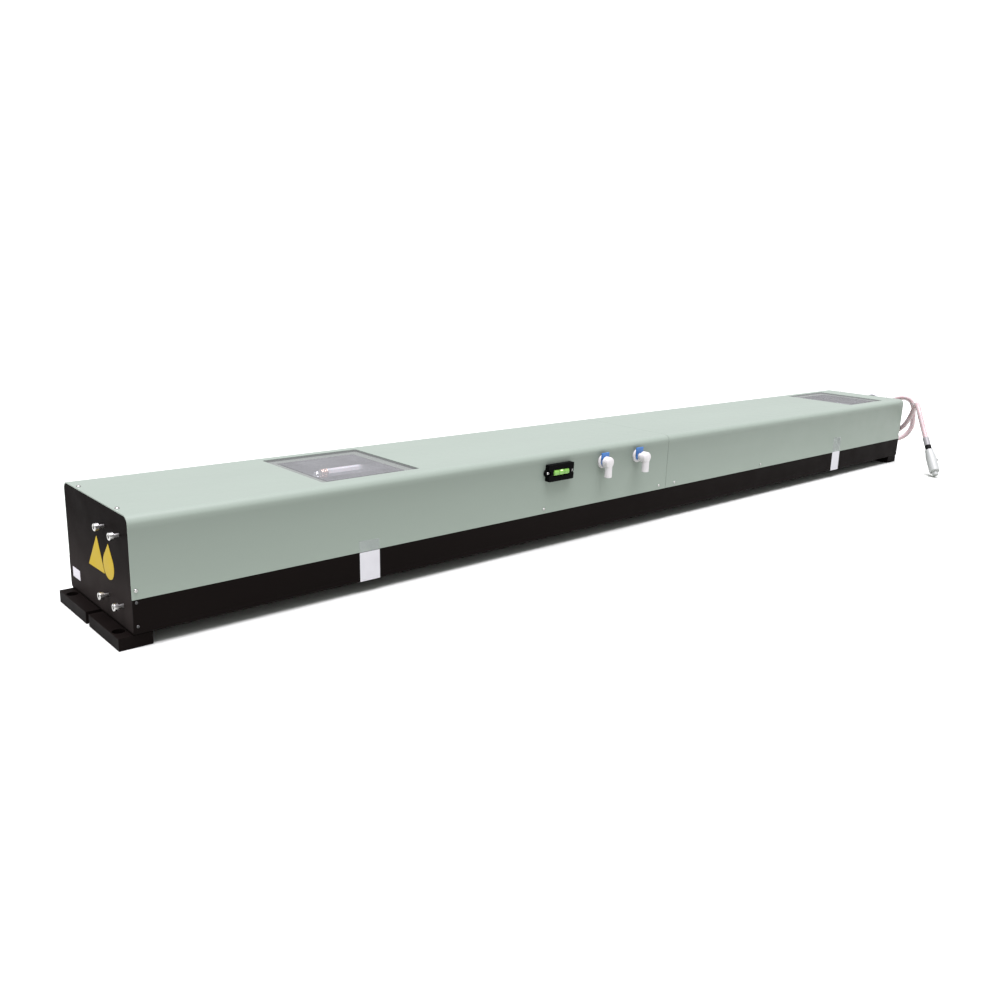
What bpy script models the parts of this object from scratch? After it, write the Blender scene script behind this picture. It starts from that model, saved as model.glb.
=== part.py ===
"""Metal-housed CO2 laser tube module.

A folded steel channel and two folded covers close round two long glass laser
tubes that lie side by side. The beam runs up the far tube, turns round in a
folding block at the rear and leaves through the near tube and the front plate.

Shapes are laid out in housing coordinates: x runs back from the front plate's
face, y runs from the near side to the far side, z rises from the underside of
the base channel. One empty carries them all and sets the module's own origin,
the middle of its footprint on the surface that it stands on.
"""
import math

import bmesh
import bpy
from mathutils import Matrix, Vector

# Fits
FIT = 0.0003
SEAM = 0.0006

# Housing
HOUSING_LENGTH = 1.830
HOUSING_WIDTH = 0.200
HOUSING_HEIGHT = 0.135
BASE_HEIGHT = 0.041
BASE_SHEET = 0.002
BASE_FOLD = 0.005
FLANGE_RISE = 0.015
COVER_SHEET = 0.0015
COVER_FOLD = 0.010
SEAM_OFFSET = 0.0117

# End plates
PLATE_THICKNESS = 0.010
APERTURE_RADIUS = 0.0065
PLATE_BOLT_RADIUS = 0.0025
PLATE_BOLT_HEAD_RADIUS = 0.0045
PLATE_BOLT_HEAD_HEIGHT = 0.005
PLATE_BOLT_STANDOFF = 0.006
PLATE_BOLT_PITCH_Y = 0.044
PLATE_BOLT_PITCH_Z = 0.081
PLATE_BOLT_SHIFT_Y = 0.0059
PLATE_BOLT_SHIFT_Z = 0.002

# Feet
FOOT_HEIGHT = 0.015
FOOT_DEPTH = 0.038
FOOT_INSET = 0.004
FRONT_FOOT_OVERHANG = 0.016
REAR_FOOT_OVERHANG = 0.006
FOOT_SLOT_WIDTH = 0.009
FOOT_SLOT_DEPTH = 0.020
FOOT_BOLT_RADIUS = 0.0045
FOOT_COUNTERBORE_RADIUS = 0.007
FOOT_COUNTERBORE_DEPTH = 0.0085
FOOT_BOLT_INSET_Y = 0.022
FOOT_BOLT_INSET_X = 0.0085

# Windows
WINDOW_LENGTH = 0.152
WINDOW_SIDE_MARGIN = 0.022
WINDOW_CORNER = 0.003
WINDOW_RIM = 0.015
PANE_THICKNESS = 0.003
PANE_RECESS = 0.0004
RIM_SHEET = 0.0015
RIM_LAP = 0.009
FRONT_WINDOW_INSET = 0.252
REAR_WINDOW_INSET = 0.065

# Glass laser tubes
TUBE_SIDE_GAP = 0.0127
TUBE_GAP = 0.011
TUBE_AXIS_DEPTH = 0.069
GLASS_WALL = 0.0025
NECK_RADIUS = 0.015
NECK_WALL = 0.0025
NECK_LENGTH = 0.042
DOME_LENGTH = 0.020
WATER_JACKET_RADIUS = 0.020
WATER_JACKET_WALL = 0.002
BORE_RADIUS = 0.0065
BORE_WALL = 0.0025
CORE_INSET = 0.030
JACKET_INSET = 0.030
NOZZLE_RADIUS = 0.0045
NOZZLE_BORE = 0.0025
NOZZLE_BEND = 0.008
NOZZLE_STUB = 0.020
NOZZLE_RISE = 0.009
FRONT_NOZZLE_INSET = 0.270
REAR_NOZZLE_INSET = 0.279

# Electrodes
ELECTRODE_RADIUS = 0.0165
ELECTRODE_WALL = 0.0015
ELECTRODE_LENGTH = 0.036
ELECTRODE_PIN = 0.0015
ELECTRODE_PIN_REACH = 0.005
ELECTRODE_OFFSET = 0.006

# Brackets, mirror mounts and folding block
BRACKET_THICKNESS = 0.008
BRACKET_FOOT = 0.040
BRACKET_FOOT_THICKNESS = 0.006
BRACKET_RISE = 0.050
FRONT_BRACKET_GAP = 0.014
REAR_BRACKET_INSET = 0.017
BRACKET_SIDE_GAP = 0.006
MOUNT_FLANGE_RADIUS = 0.026
MOUNT_FLANGE_THICKNESS = 0.006
MOUNT_SLEEVE_RADIUS = 0.020
MOUNT_BORE_RADIUS = 0.008
MOUNT_BORE_LENGTH = 0.016
MOUNT_CHAMFER = 0.001
NECK_FRONT_GAP = 0.004
NECK_FRONT_ENTRY = 0.018
MIRROR_RADIUS = 0.0125
MIRROR_THICKNESS = 0.003
MIRROR_SEAT_DEPTH = 0.0045
FOLD_BLOCK_GAP = 0.006
FOLD_BLOCK_BACK = 0.016
FOLD_BLOCK_HALF_HEIGHT = 0.022
FOLD_BLOCK_MARGIN = 0.026
FOLD_NECK_GAP = 0.019
NECK_REAR_GAP = 0.001
FOLD_BEAM_RADIUS = 0.008
FOLD_CROSS_RADIUS = 0.007
FOLD_BEAM_OVERRUN = 0.003
FOLD_CELL_RADIUS = 0.016
FOLD_CELL_HEIGHT = 0.009
FOLD_CELL_CHAMFER = 0.002

# Saddles and straps
SADDLE_LENGTH = 0.025
SADDLE_DROP = 0.010
SADDLE_SIDE_GAP = 0.0005
FRONT_SADDLE_INSET = 0.136
REAR_SADDLE_INSET = 0.209
STRAP_SHEET = 0.0015
STRAP_WIDTH = 0.018
STRAP_EAR_REACH = 0.008

# Water fittings
FITTING_DEPTH = 0.026
FITTING_SEAM_GAP = 0.0857
FITTING_PITCH = 0.086
UNION_FLANGE_RADIUS = 0.011
UNION_FLANGE_THICKNESS = 0.0042
UNION_THREAD_RADIUS = 0.0075
UNION_THREAD_END = 0.0085
UNION_STEM_RADIUS = 0.005
UNION_NUT_RADIUS = 0.012
UNION_NUT_THICKNESS = 0.005
CLIP_THICKNESS = 0.0022
CLIP_RADIUS = 0.0078
CLIP_TAB_HEIGHT = 0.0145
CLIP_TAB_HALF_WIDTH = 0.0085
CLIP_SHOULDER = 0.004
ELBOW_RADIUS = 0.009
ELBOW_LENGTH = 0.013
ELBOW_DOME = 0.004
ELBOW_LEG_RADIUS = 0.006
ELBOW_LEG_LENGTH = 0.024
ELBOW_LEG_BORE = 0.0042
ELBOW_SOCKET_DEPTH = 0.007
ELBOW_OUT_STANDOFF = 0.0058
HOSE_RADIUS = 0.006
INNER_ELBOW_RADIUS = 0.0062
INNER_ELBOW_STEM = 0.002
INNER_ELBOW_BEND = 0.009
INNER_ELBOW_REACH = 0.026
HOSE_STRAIGHT = 0.024

# Spirit level
LEVEL_FITTING_GAP = 0.102
LEVEL_DROP = 0.030
LEVEL_LENGTH = 0.054
LEVEL_HEIGHT = 0.026
LEVEL_DEPTH = 0.008
LEVEL_EAR_RADIUS = 0.0055
LEVEL_EAR_DEPTH = 0.004
LEVEL_VIAL_LENGTH = 0.034
LEVEL_VIAL_HEIGHT = 0.010
LEVEL_VIAL_DEPTH = 0.006
LEVEL_SCREW_RADIUS = 0.0027
LEVEL_SCREW_CLEARANCE = 0.0008
LEVEL_SHANK_RADIUS = 0.0014
LEVEL_CORNER = 0.0015

# High-voltage lead and its gland
LEAD_RADIUS = 0.0055
GLAND_Y = 0.096
GLAND_DEPTH = 0.049
GLAND_HEX_RADIUS = 0.013
GLAND_HEX_LENGTH = 0.007
GLAND_BARREL_RADIUS = 0.0085
GLAND_BOOT_LENGTH = 0.023
GLAND_BOOT_TIP = 0.0075
GLAND_INNER_LENGTH = 0.004
GREY_BAND_LENGTH = 0.020
BLACK_BAND_LENGTH = 0.011
BAND_WALL = 0.001
CONNECTOR_RADIUS = 0.0110
CONNECTOR_NECK_RADIUS = 0.0088
CONNECTOR_LENGTH = 0.056
CONNECTOR_PIN_RADIUS = 0.006
CONNECTOR_PIN_LENGTH = 0.008
CONNECTOR_BOSS_RADIUS = 0.004
CONNECTOR_BOSS_REACH = 0.0025
CONNECTOR_BOSS_PLACE = 0.024

# Return lead and its grommet
RETURN_RADIUS = 0.00225
GROMMET_Y = 0.130
GROMMET_DEPTH = 0.043
GROMMET_RADIUS = 0.0065
GROMMET_NECK_RADIUS = 0.00475
GROMMET_FLANGE = 0.002
GROMMET_REACH = 0.005
TERMINAL_BARREL_RADIUS = 0.0024
TERMINAL_BARREL_LENGTH = 0.008
TERMINAL_RADIUS = 0.0055
TERMINAL_HOLE_RADIUS = 0.0027
TERMINAL_SHEET = 0.001

SEGMENTS = 32
SMALL_SEGMENTS = 16

# Places that follow from the sizes above
MID_Y = HOUSING_WIDTH / 2
COVER_BOTTOM = BASE_HEIGHT + FIT
SEAM_X = HOUSING_LENGTH / 2 + SEAM_OFFSET
REAR_PLATE_X = HOUSING_LENGTH - PLATE_THICKNESS
FLOOR_Z = BASE_SHEET + FIT
FLANGE_OUTER = COVER_SHEET + FIT
FLANGE_INNER = FLANGE_OUTER + BASE_SHEET
TUBE_RADIUS = (MID_Y - FLANGE_INNER - TUBE_SIDE_GAP - TUBE_GAP / 2) / 2
TUBE_SPACING = 2 * TUBE_RADIUS + TUBE_GAP
TUBE_AXIS_Z = HOUSING_HEIGHT - TUBE_AXIS_DEPTH
NEAR_TUBE_Y = MID_Y - TUBE_SPACING / 2
FAR_TUBE_Y = MID_Y + TUBE_SPACING / 2
FRONT_BRACKET_X = PLATE_THICKNESS + FRONT_BRACKET_GAP
MOUNT_NECK_SOCKET_X = FRONT_BRACKET_X + MOUNT_BORE_LENGTH
NECK_FRONT_X = MOUNT_NECK_SOCKET_X + NECK_FRONT_GAP
MOUNT_SLEEVE_END_X = NECK_FRONT_X + NECK_FRONT_ENTRY
FOLD_BLOCK_REAR_X = REAR_PLATE_X - FOLD_BLOCK_GAP
FOLD_X = FOLD_BLOCK_REAR_X - FOLD_BLOCK_BACK
NECK_REAR_X = FOLD_X - FOLD_NECK_GAP
FOLD_NECK_SOCKET_END_X = NECK_REAR_X + NECK_REAR_GAP
REAR_BRACKET_X = NECK_REAR_X - REAR_BRACKET_INSET
BRACKET_TOP = TUBE_AXIS_Z + BRACKET_RISE
FRONT_NOZZLE_X = NECK_FRONT_X + FRONT_NOZZLE_INSET
REAR_NOZZLE_X = NECK_REAR_X - REAR_NOZZLE_INSET
NOZZLE_Z = TUBE_AXIS_Z + TUBE_RADIUS + NOZZLE_RISE
SADDLE_TOP = TUBE_AXIS_Z - SADDLE_DROP
SADDLE_XS = (NECK_FRONT_X + FRONT_SADDLE_INSET, HOUSING_LENGTH / 2,
             NECK_REAR_X - REAR_SADDLE_INSET)
STRAP_EAR = TUBE_RADIUS + STRAP_EAR_REACH
WINDOW_WIDTH = HOUSING_WIDTH - 2 * WINDOW_SIDE_MARGIN
FRONT_WINDOW_X = FRONT_WINDOW_INSET + WINDOW_LENGTH / 2
REAR_WINDOW_X = HOUSING_LENGTH - REAR_WINDOW_INSET - WINDOW_LENGTH / 2
FITTING_Z = HOUSING_HEIGHT - FITTING_DEPTH
FITTING_OUT_X = SEAM_X - FITTING_SEAM_GAP
FITTING_XS = (FITTING_OUT_X - FITTING_PITCH, FITTING_OUT_X)
LEVEL_X = FITTING_XS[0] - LEVEL_FITTING_GAP
LEVEL_Z = HOUSING_HEIGHT - LEVEL_DROP
GLAND_Z = HOUSING_HEIGHT - GLAND_DEPTH
GROMMET_Z = HOUSING_HEIGHT - GROMMET_DEPTH
UNION_FACE_Y = -FIT - UNION_FLANGE_THICKNESS
CLIP_Y = UNION_FACE_Y - FIT - CLIP_THICKNESS
ELBOW_BACK_Y = CLIP_Y - FIT
ELBOW_FRONT_Y = ELBOW_BACK_Y - ELBOW_OUT_STANDOFF - ELBOW_LENGTH
FRONT_REACH = FRONT_FOOT_OVERHANG
REAR_REACH = GLAND_HEX_LENGTH + GLAND_BOOT_LENGTH + FIT
NEAR_REACH = -ELBOW_FRONT_Y
ORIGIN_SHIFT = Vector((
    -(HOUSING_LENGTH + REAR_REACH - FRONT_REACH) / 2,
    -(HOUSING_WIDTH - NEAR_REACH) / 2,
    FOOT_HEIGHT + FIT,
))

# The high-voltage lead, from its gland's end: up over a crest, down the near
# side, round behind the rear plate, up, over the rear corner and down to the
# floor, where the straight end carries the bands and the connector
LEAD_ROUTE = (
    (0.0, 0.0, 0.0), (0.008, 0.0, 0.0), (0.0158, -0.0005, 0.0012),
    (0.0310, -0.0026, 0.0054), (0.0447, -0.0068, 0.0123),
    (0.0563, -0.0138, 0.0210), (0.0651, -0.0242, 0.0305),
    (0.0714, -0.0375, 0.0380), (0.0766, -0.0520, 0.0405),
    (0.0806, -0.0648, 0.0340), (0.0824, -0.0720, 0.0205),
    (0.0829, -0.0745, 0.0050), (0.0823, -0.0760, -0.0110),
    (0.0804, -0.0764, -0.0270), (0.0751, -0.0724, -0.0424),
    (0.0663, -0.0644, -0.0540), (0.0547, -0.0548, -0.0602),
    (0.0407, -0.0468, -0.0606), (0.0261, -0.0424, -0.0562),
    (0.0123, -0.0444, -0.0496), (0.0017, -0.0532, -0.0430),
    (-0.0049, -0.0664, -0.0364), (-0.0079, -0.0802, -0.0288),
    (-0.0087, -0.0926, -0.0180), (-0.0093, -0.1016, -0.0044),
    (-0.0111, -0.1084, 0.0102), (-0.0159, -0.1146, 0.0244),
    (-0.0243, -0.1213, 0.0364), (-0.0372, -0.1298, 0.0428),
    (-0.0504, -0.1390, 0.0396), (-0.0599, -0.1476, 0.0296),
    (-0.0669, -0.1555, 0.0177), (-0.0734, -0.1635, 0.0058),
    (-0.0799, -0.1714, -0.0060), (-0.0843, -0.1767, -0.0134),
    (-0.0894, -0.1829, -0.0223), (-0.1039, -0.2005, -0.0475),
)
LEAD_STEP = 0.012

# The return lead, from its grommet's end: a low arc over the rear edge and
# down behind the rear plate to the floor
RETURN_ROUTE = (
    (0.0, 0.0, 0.0), (0.0074, 0.0, 0.0), (0.0144, -0.003, 0.003),
    (0.0184, -0.010, 0.013), (0.0184, -0.0185, 0.025),
    (0.0174, -0.028, 0.0355), (0.0164, -0.039, 0.0415),
    (0.0154, -0.0505, 0.0405), (0.0149, -0.060, 0.033),
    (0.0149, -0.0665, 0.020), (0.0154, -0.069, 0.004),
    (0.0159, -0.0685, -0.014), (0.0164, -0.066, -0.032),
    (0.0169, -0.061, -0.050), (0.0194, -0.055, -0.068),
    (0.0244, -0.049, -0.084), (0.0334, -0.043, -0.097),
    (0.0454, -0.038, -0.1035), (0.0594, -0.034, -0.1048),
    (0.0744, -0.028, -0.1048), (0.0844, -0.018, -0.1048),
    (0.0884, -0.004, -0.1048),
)
RETURN_STEP = 0.009

# Local axes for flat outlines: (u, v, w) become housing (x, y, z)
ACROSS = Matrix(((0, 0, 1, 0), (1, 0, 0, 0), (0, 1, 0, 0), (0, 0, 0, 1)))
UPRIGHT = Matrix(((1, 0, 0, 0), (0, 0, -1, 0), (0, 1, 0, 0), (0, 0, 0, 1)))
FLAT = Matrix.Identity(4)


# Set-up

for old in list(bpy.data.objects):
    bpy.data.objects.remove(old, do_unlink=True)

PARTS = bpy.data.collections.new("co2_laser_tube")
TOOLS = bpy.data.collections.new("cutters")
bpy.context.scene.collection.children.link(PARTS)
bpy.context.scene.collection.children.link(TOOLS)

HOUSING = bpy.data.objects.new("housing_frame", None)
HOUSING.location = ORIGIN_SHIFT
PARTS.objects.link(HOUSING)


def material(name, colour, roughness, metallic=0.0, alpha=1.0):
    """Principled material with the part's colour and finish."""
    mat = bpy.data.materials.new(name)
    mat.use_nodes = True
    shader = mat.node_tree.nodes["Principled BSDF"]
    shader.inputs["Base Color"].default_value = (*colour, 1.0)
    shader.inputs["Roughness"].default_value = roughness
    shader.inputs["Metallic"].default_value = metallic
    shader.inputs["Alpha"].default_value = alpha
    return mat


SAGE = material("sage_powder_coat", (0.33, 0.39, 0.34), 0.38)
BLACK_COAT = material("black_powder_coat", (0.011, 0.009, 0.008), 0.42)
BLACK_ANODISED = material("black_anodised", (0.022, 0.019, 0.023), 0.34, 0.3)
STEEL = material("bright_steel", (0.60, 0.60, 0.58), 0.24, 1.0)
ALUMINIUM = material("machined_aluminium", (0.72, 0.73, 0.74), 0.32, 1.0)
NICKEL = material("nickel", (0.55, 0.53, 0.48), 0.30, 1.0)
GLASS = material("borosilicate_glass", (0.86, 0.90, 0.92), 0.04, 0.0, 0.4)
ACRYLIC = material("clear_acrylic", (0.80, 0.84, 0.85), 0.06, 0.0, 0.4)
WHITE_PLASTIC = material("white_acetal", (0.86, 0.84, 0.81), 0.33)
BLUE_PLASTIC = material("blue_acetal", (0.03, 0.16, 0.40), 0.35)
BLACK_PLASTIC = material("black_moulding", (0.013, 0.013, 0.013), 0.45)
GREEN_VIAL = material("green_vial", (0.28, 0.62, 0.12), 0.12)
SILICONE = material("clear_silicone", (0.80, 0.68, 0.67), 0.40, 0.0, 0.85)
GREY_SLEEVE = material("grey_sleeve", (0.28, 0.28, 0.28), 0.45)
RUBBER = material("black_rubber", (0.014, 0.014, 0.014), 0.65)
AMBER = material("amber_mirror", (0.80, 0.48, 0.12), 0.08, 0.2)
GOLD = material("gold_mirror", (0.90, 0.66, 0.28), 0.08, 1.0)
GREY_PVC = material("grey_pvc", (0.38, 0.38, 0.40), 0.45)
LEAD_SHEATH = material("lead_sheath", (0.80, 0.68, 0.67), 0.40)


# Builders

def finish(name, mesh, mat, placement=FLAT, cutter=False):
    """Make an object of the mesh and hang it on the housing's empty."""
    obj = bpy.data.objects.new(name, mesh)
    obj.parent = HOUSING
    obj.matrix_basis = placement
    if cutter:
        obj.hide_render = True
        obj.display_type = "WIRE"
        TOOLS.objects.link(obj)
    else:
        if not mesh.materials:
            mesh.materials.append(mat)
        PARTS.objects.link(obj)
    return obj


def smooth(mesh, angle=35.0):
    """Shade round faces smooth and keep the folds sharp."""
    mesh.shade_smooth()
    mesh.set_sharp_from_angle(angle=math.radians(angle))


def box(name, low, high, mat=None, bevel=0.0, cutter=False):
    """Block between two corners, with softened edges where bevel is set."""
    low = Vector(low)
    high = Vector(high)
    mesh = bpy.data.meshes.new(name)
    bm = bmesh.new()
    bmesh.ops.create_cube(bm, size=1.0)
    bmesh.ops.scale(bm, vec=high - low, verts=bm.verts)
    bm.to_mesh(mesh)
    bm.free()
    obj = finish(name, mesh, mat, Matrix.Translation((low + high) / 2), cutter)
    if bevel:
        edge = obj.modifiers.new("soft_edges", "BEVEL")
        edge.width = bevel
        edge.segments = 2
        edge.limit_method = "ANGLE"
        edge.angle_limit = math.radians(40)
    return obj


def rod_mesh(name, radius, length, segments):
    """Closed cylinder along +Z from 0 to its length."""
    mesh = bpy.data.meshes.new(name)
    bm = bmesh.new()
    bmesh.ops.create_cone(bm, cap_ends=True, segments=segments, radius1=radius,
                          radius2=radius, depth=length)
    bmesh.ops.translate(bm, vec=(0, 0, length / 2), verts=bm.verts)
    bm.to_mesh(mesh)
    bm.free()
    return mesh


def aim(start, direction):
    """Placement whose +Z points along a direction from a start point."""
    turn = Vector(direction).normalized().to_track_quat("Z", "Y").to_matrix()
    return Matrix.Translation(Vector(start)) @ turn.to_4x4()


def rod(name, start, direction, radius, length, mat=None,
        segments=SMALL_SEGMENTS, cutter=False):
    """Cylinder from a start point along a direction."""
    mesh = rod_mesh(name, radius, length, segments)
    if not cutter:
        smooth(mesh)
    return finish(name, mesh, mat, aim(start, direction), cutter)


def turned(name, profile, start, direction, mat=None, steps=SEGMENTS,
           closed=False, cutter=False):
    """Turn a profile of (radius, height) points about its own +Z axis.

    The points run down the outer side. A closed profile leaves a bore.
    """
    mesh = bpy.data.meshes.new(name)
    bm = bmesh.new()
    verts = [bm.verts.new((r, 0.0, h)) for r, h in profile]
    for a, b in zip(verts, verts[1:]):
        bm.edges.new((a, b))
    if closed:
        bm.edges.new((verts[-1], verts[0]))
    bm.to_mesh(mesh)
    bm.free()
    obj = finish(name, mesh, mat, aim(start, direction), cutter)
    screw = obj.modifiers.new("turn", "SCREW")
    screw.axis = "Z"
    screw.angle = math.tau
    screw.steps = steps
    screw.render_steps = steps
    screw.use_merge_vertices = True
    screw.merge_threshold = 0.00001
    screw.use_smooth_shade = True
    return obj


def from_curve(name, curve, mat, placement, cutter):
    """Turn a curve into a closed mesh object with welded caps."""
    source = bpy.data.objects.new(name + "_curve", curve)
    source.matrix_world = placement
    TOOLS.objects.link(source)
    bpy.context.view_layer.update()
    graph = bpy.context.evaluated_depsgraph_get()
    mesh = bpy.data.meshes.new_from_object(source.evaluated_get(graph))
    mesh.name = name
    bm = bmesh.new()
    bm.from_mesh(mesh)
    bmesh.ops.remove_doubles(bm, verts=bm.verts, dist=0.00001)
    bmesh.ops.recalc_face_normals(bm, faces=bm.faces)
    bm.to_mesh(mesh)
    bm.free()
    mesh.materials.clear()
    place = source.matrix_world.copy()
    bpy.data.objects.remove(source, do_unlink=True)
    bpy.data.curves.remove(curve)
    if not cutter:
        smooth(mesh)
    return finish(name, mesh, mat, place, cutter)


def plate(name, outline, thickness, axes, centre, mat=None, cutter=False):
    """Flat closed outline given a thickness about its middle plane."""
    curve = bpy.data.curves.new(name, "CURVE")
    curve.dimensions = "2D"
    curve.fill_mode = "BOTH"
    curve.extrude = thickness / 2
    spline = curve.splines.new("POLY")
    spline.points.add(len(outline) - 1)
    for point, (u, v) in zip(spline.points, outline):
        point.co = (u, v, 0.0, 1.0)
    spline.use_cyclic_u = True
    return from_curve(name, curve, mat, Matrix.Translation(centre) @ axes,
                      cutter)


def tube(name, points, radius, mat=None, sides=2, cutter=False):
    """Round rod along a chain of points, with flat closed ends."""
    curve = bpy.data.curves.new(name, "CURVE")
    curve.dimensions = "3D"
    curve.fill_mode = "FULL"
    curve.bevel_depth = radius
    curve.bevel_resolution = sides
    curve.use_fill_caps = True
    curve.resolution_u = 1
    curve.render_resolution_u = 0
    spline = curve.splines.new("POLY")
    spline.points.add(len(points) - 1)
    for point, co in zip(spline.points, points):
        point.co = (*co, 1.0)
    return from_curve(name, curve, mat, FLAT.copy(), cutter)


def combine(obj, other, operation):
    """Boolean with another object, which moves among the cutters."""
    step = obj.modifiers.new(operation.lower() + "_" + other.name, "BOOLEAN")
    step.operation = operation
    step.solver = "EXACT"
    step.object = other
    return obj


def cut(obj, *cutters):
    """Take cutters away from an object."""
    for cutter in cutters:
        combine(obj, cutter, "DIFFERENCE")
    return obj


def join(obj, *others):
    """Fuse shapes of the same piece."""
    for other in others:
        combine(obj, other, "UNION")
    return obj


def arc(centre, radius, start, end, count):
    """Points on an arc between two angles in degrees, ends included."""
    step = (end - start) / (count - 1)
    angles = [math.radians(start + step * i) for i in range(count)]
    return [(centre[0] + radius * math.cos(a), centre[1] + radius * math.sin(a))
            for a in angles]


def rounded_rectangle(low, high, radius, count=5):
    """Closed outline of a rectangle with round corners."""
    (x0, y0), (x1, y1) = low, high
    points = arc((x1 - radius, y0 + radius), radius, -90, 0, count)
    points += arc((x1 - radius, y1 - radius), radius, 0, 90, count)
    points += arc((x0 + radius, y1 - radius), radius, 90, 180, count)
    points += arc((x0 + radius, y0 + radius), radius, 180, 270, count)
    return points


def smooth_route(knots, step):
    """Evenly spaced points on a centripetal Catmull-Rom curve."""
    pts = [Vector(k) for k in knots]
    pts = [2 * pts[0] - pts[1]] + pts + [2 * pts[-1] - pts[-2]]
    fine = []
    for i in range(1, len(pts) - 2):
        p0, p1, p2, p3 = pts[i - 1:i + 3]
        t0 = 0.0
        t1 = t0 + math.sqrt((p1 - p0).length)
        t2 = t1 + math.sqrt((p2 - p1).length)
        t3 = t2 + math.sqrt((p3 - p2).length)
        for k in range(16):
            t = t1 + (t2 - t1) * k / 16
            a1 = p0 * ((t1 - t) / (t1 - t0)) + p1 * ((t - t0) / (t1 - t0))
            a2 = p1 * ((t2 - t) / (t2 - t1)) + p2 * ((t - t1) / (t2 - t1))
            a3 = p2 * ((t3 - t) / (t3 - t2)) + p3 * ((t - t2) / (t3 - t2))
            b1 = a1 * ((t2 - t) / (t2 - t0)) + a2 * ((t - t0) / (t2 - t0))
            b2 = a2 * ((t3 - t) / (t3 - t1)) + a3 * ((t - t1) / (t3 - t1))
            fine.append(b1 * ((t2 - t) / (t2 - t1)) + b2 * ((t - t1) / (t2 - t1)))
    fine.append(pts[-2])
    lengths = [0.0]
    for a, b in zip(fine, fine[1:]):
        lengths.append(lengths[-1] + (b - a).length)
    count = max(2, round(lengths[-1] / step))
    route = []
    j = 0
    for k in range(count + 1):
        s = lengths[-1] * k / count
        while j < len(lengths) - 2 and lengths[j + 1] < s:
            j += 1
        share = (s - lengths[j]) / (lengths[j + 1] - lengths[j])
        route.append(fine[j].lerp(fine[j + 1], share))
    return route


# Folded sheet housing

def base_outline():
    """Channel section: a wide U whose sides step in as flanges."""
    w = HOUSING_WIDTH
    r = BASE_FOLD
    ri = BASE_FOLD - BASE_SHEET
    top = BASE_HEIGHT + FLANGE_RISE
    step_z = BASE_HEIGHT - BASE_SHEET
    slope_z = step_z - (FLANGE_INNER - BASE_SHEET)
    outer = [(FLANGE_OUTER, top), (FLANGE_OUTER, BASE_HEIGHT), (0.0, BASE_HEIGHT)]
    outer += arc((r, r), r, 180, 270, 5)
    outer += arc((w - r, r), r, 270, 360, 5)
    outer += [(w, BASE_HEIGHT), (w - FLANGE_OUTER, BASE_HEIGHT),
              (w - FLANGE_OUTER, top)]
    inner = [(w - FLANGE_INNER, top), (w - FLANGE_INNER, step_z),
             (w - BASE_SHEET, slope_z)]
    inner += arc((w - r, r), ri, 360, 270, 5)
    inner += arc((r, r), ri, 270, 180, 5)
    inner += [(BASE_SHEET, slope_z), (FLANGE_INNER, step_z), (FLANGE_INNER, top)]
    return outer + inner


def cover_outline():
    """Cover section: an upside-down U with generous folds."""
    w = HOUSING_WIDTH
    h = HOUSING_HEIGHT
    r = COVER_FOLD
    t = COVER_SHEET
    outer = [(0.0, COVER_BOTTOM)]
    outer += arc((r, h - r), r, 180, 90, 7)
    outer += arc((w - r, h - r), r, 90, 0, 7)
    outer += [(w, COVER_BOTTOM), (w - t, COVER_BOTTOM)]
    outer += arc((w - r, h - r), r - t, 0, 90, 7)
    outer += arc((r, h - r), r - t, 90, 180, 7)
    outer += [(t, COVER_BOTTOM)]
    return outer


def make_base():
    """Base channel, with its flanges cut back where the end plates sit."""
    base = plate("base_channel", base_outline(), HOUSING_LENGTH, ACROSS,
                 (HOUSING_LENGTH / 2, 0, 0), BLACK_COAT)
    relief = PLATE_THICKNESS + FIT
    jog_z = BASE_HEIGHT - FLANGE_INNER - FIT
    for end, x0, x1 in (("front", -0.01, relief),
                        ("rear", HOUSING_LENGTH - relief, HOUSING_LENGTH + 0.01)):
        cut(base,
            box("flange_relief_" + end, (x0, -0.01, BASE_HEIGHT),
                (x1, HOUSING_WIDTH + 0.01, HOUSING_HEIGHT), cutter=True),
            box("jog_relief_" + end, (x0, BASE_SHEET, jog_z),
                (x1, HOUSING_WIDTH - BASE_SHEET, HOUSING_HEIGHT), cutter=True))
    return base


def window_cutter(name, x_mid, border, low_z, high_z):
    """Rounded block as large as a window, grown by a border."""
    half_x = WINDOW_LENGTH / 2 + border
    half_y = WINDOW_WIDTH / 2 + border
    corner = max(WINDOW_CORNER + border, 0.001)
    outline = rounded_rectangle((x_mid - half_x, MID_Y - half_y),
                                (x_mid + half_x, MID_Y + half_y), corner, 4)
    return plate(name, outline, high_z - low_z, FLAT,
                 (0, 0, (low_z + high_z) / 2), cutter=True)


def make_cover(name, x0, x1, window_x):
    """Cover section with its window cut-out."""
    cover = plate(name, cover_outline(), x1 - x0, ACROSS,
                  ((x0 + x1) / 2, 0, 0), SAGE)
    cut(cover, window_cutter(name + "_window", window_x, 0.0,
                             HOUSING_HEIGHT - 0.005, HOUSING_HEIGHT + 0.005))
    return cover


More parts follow.
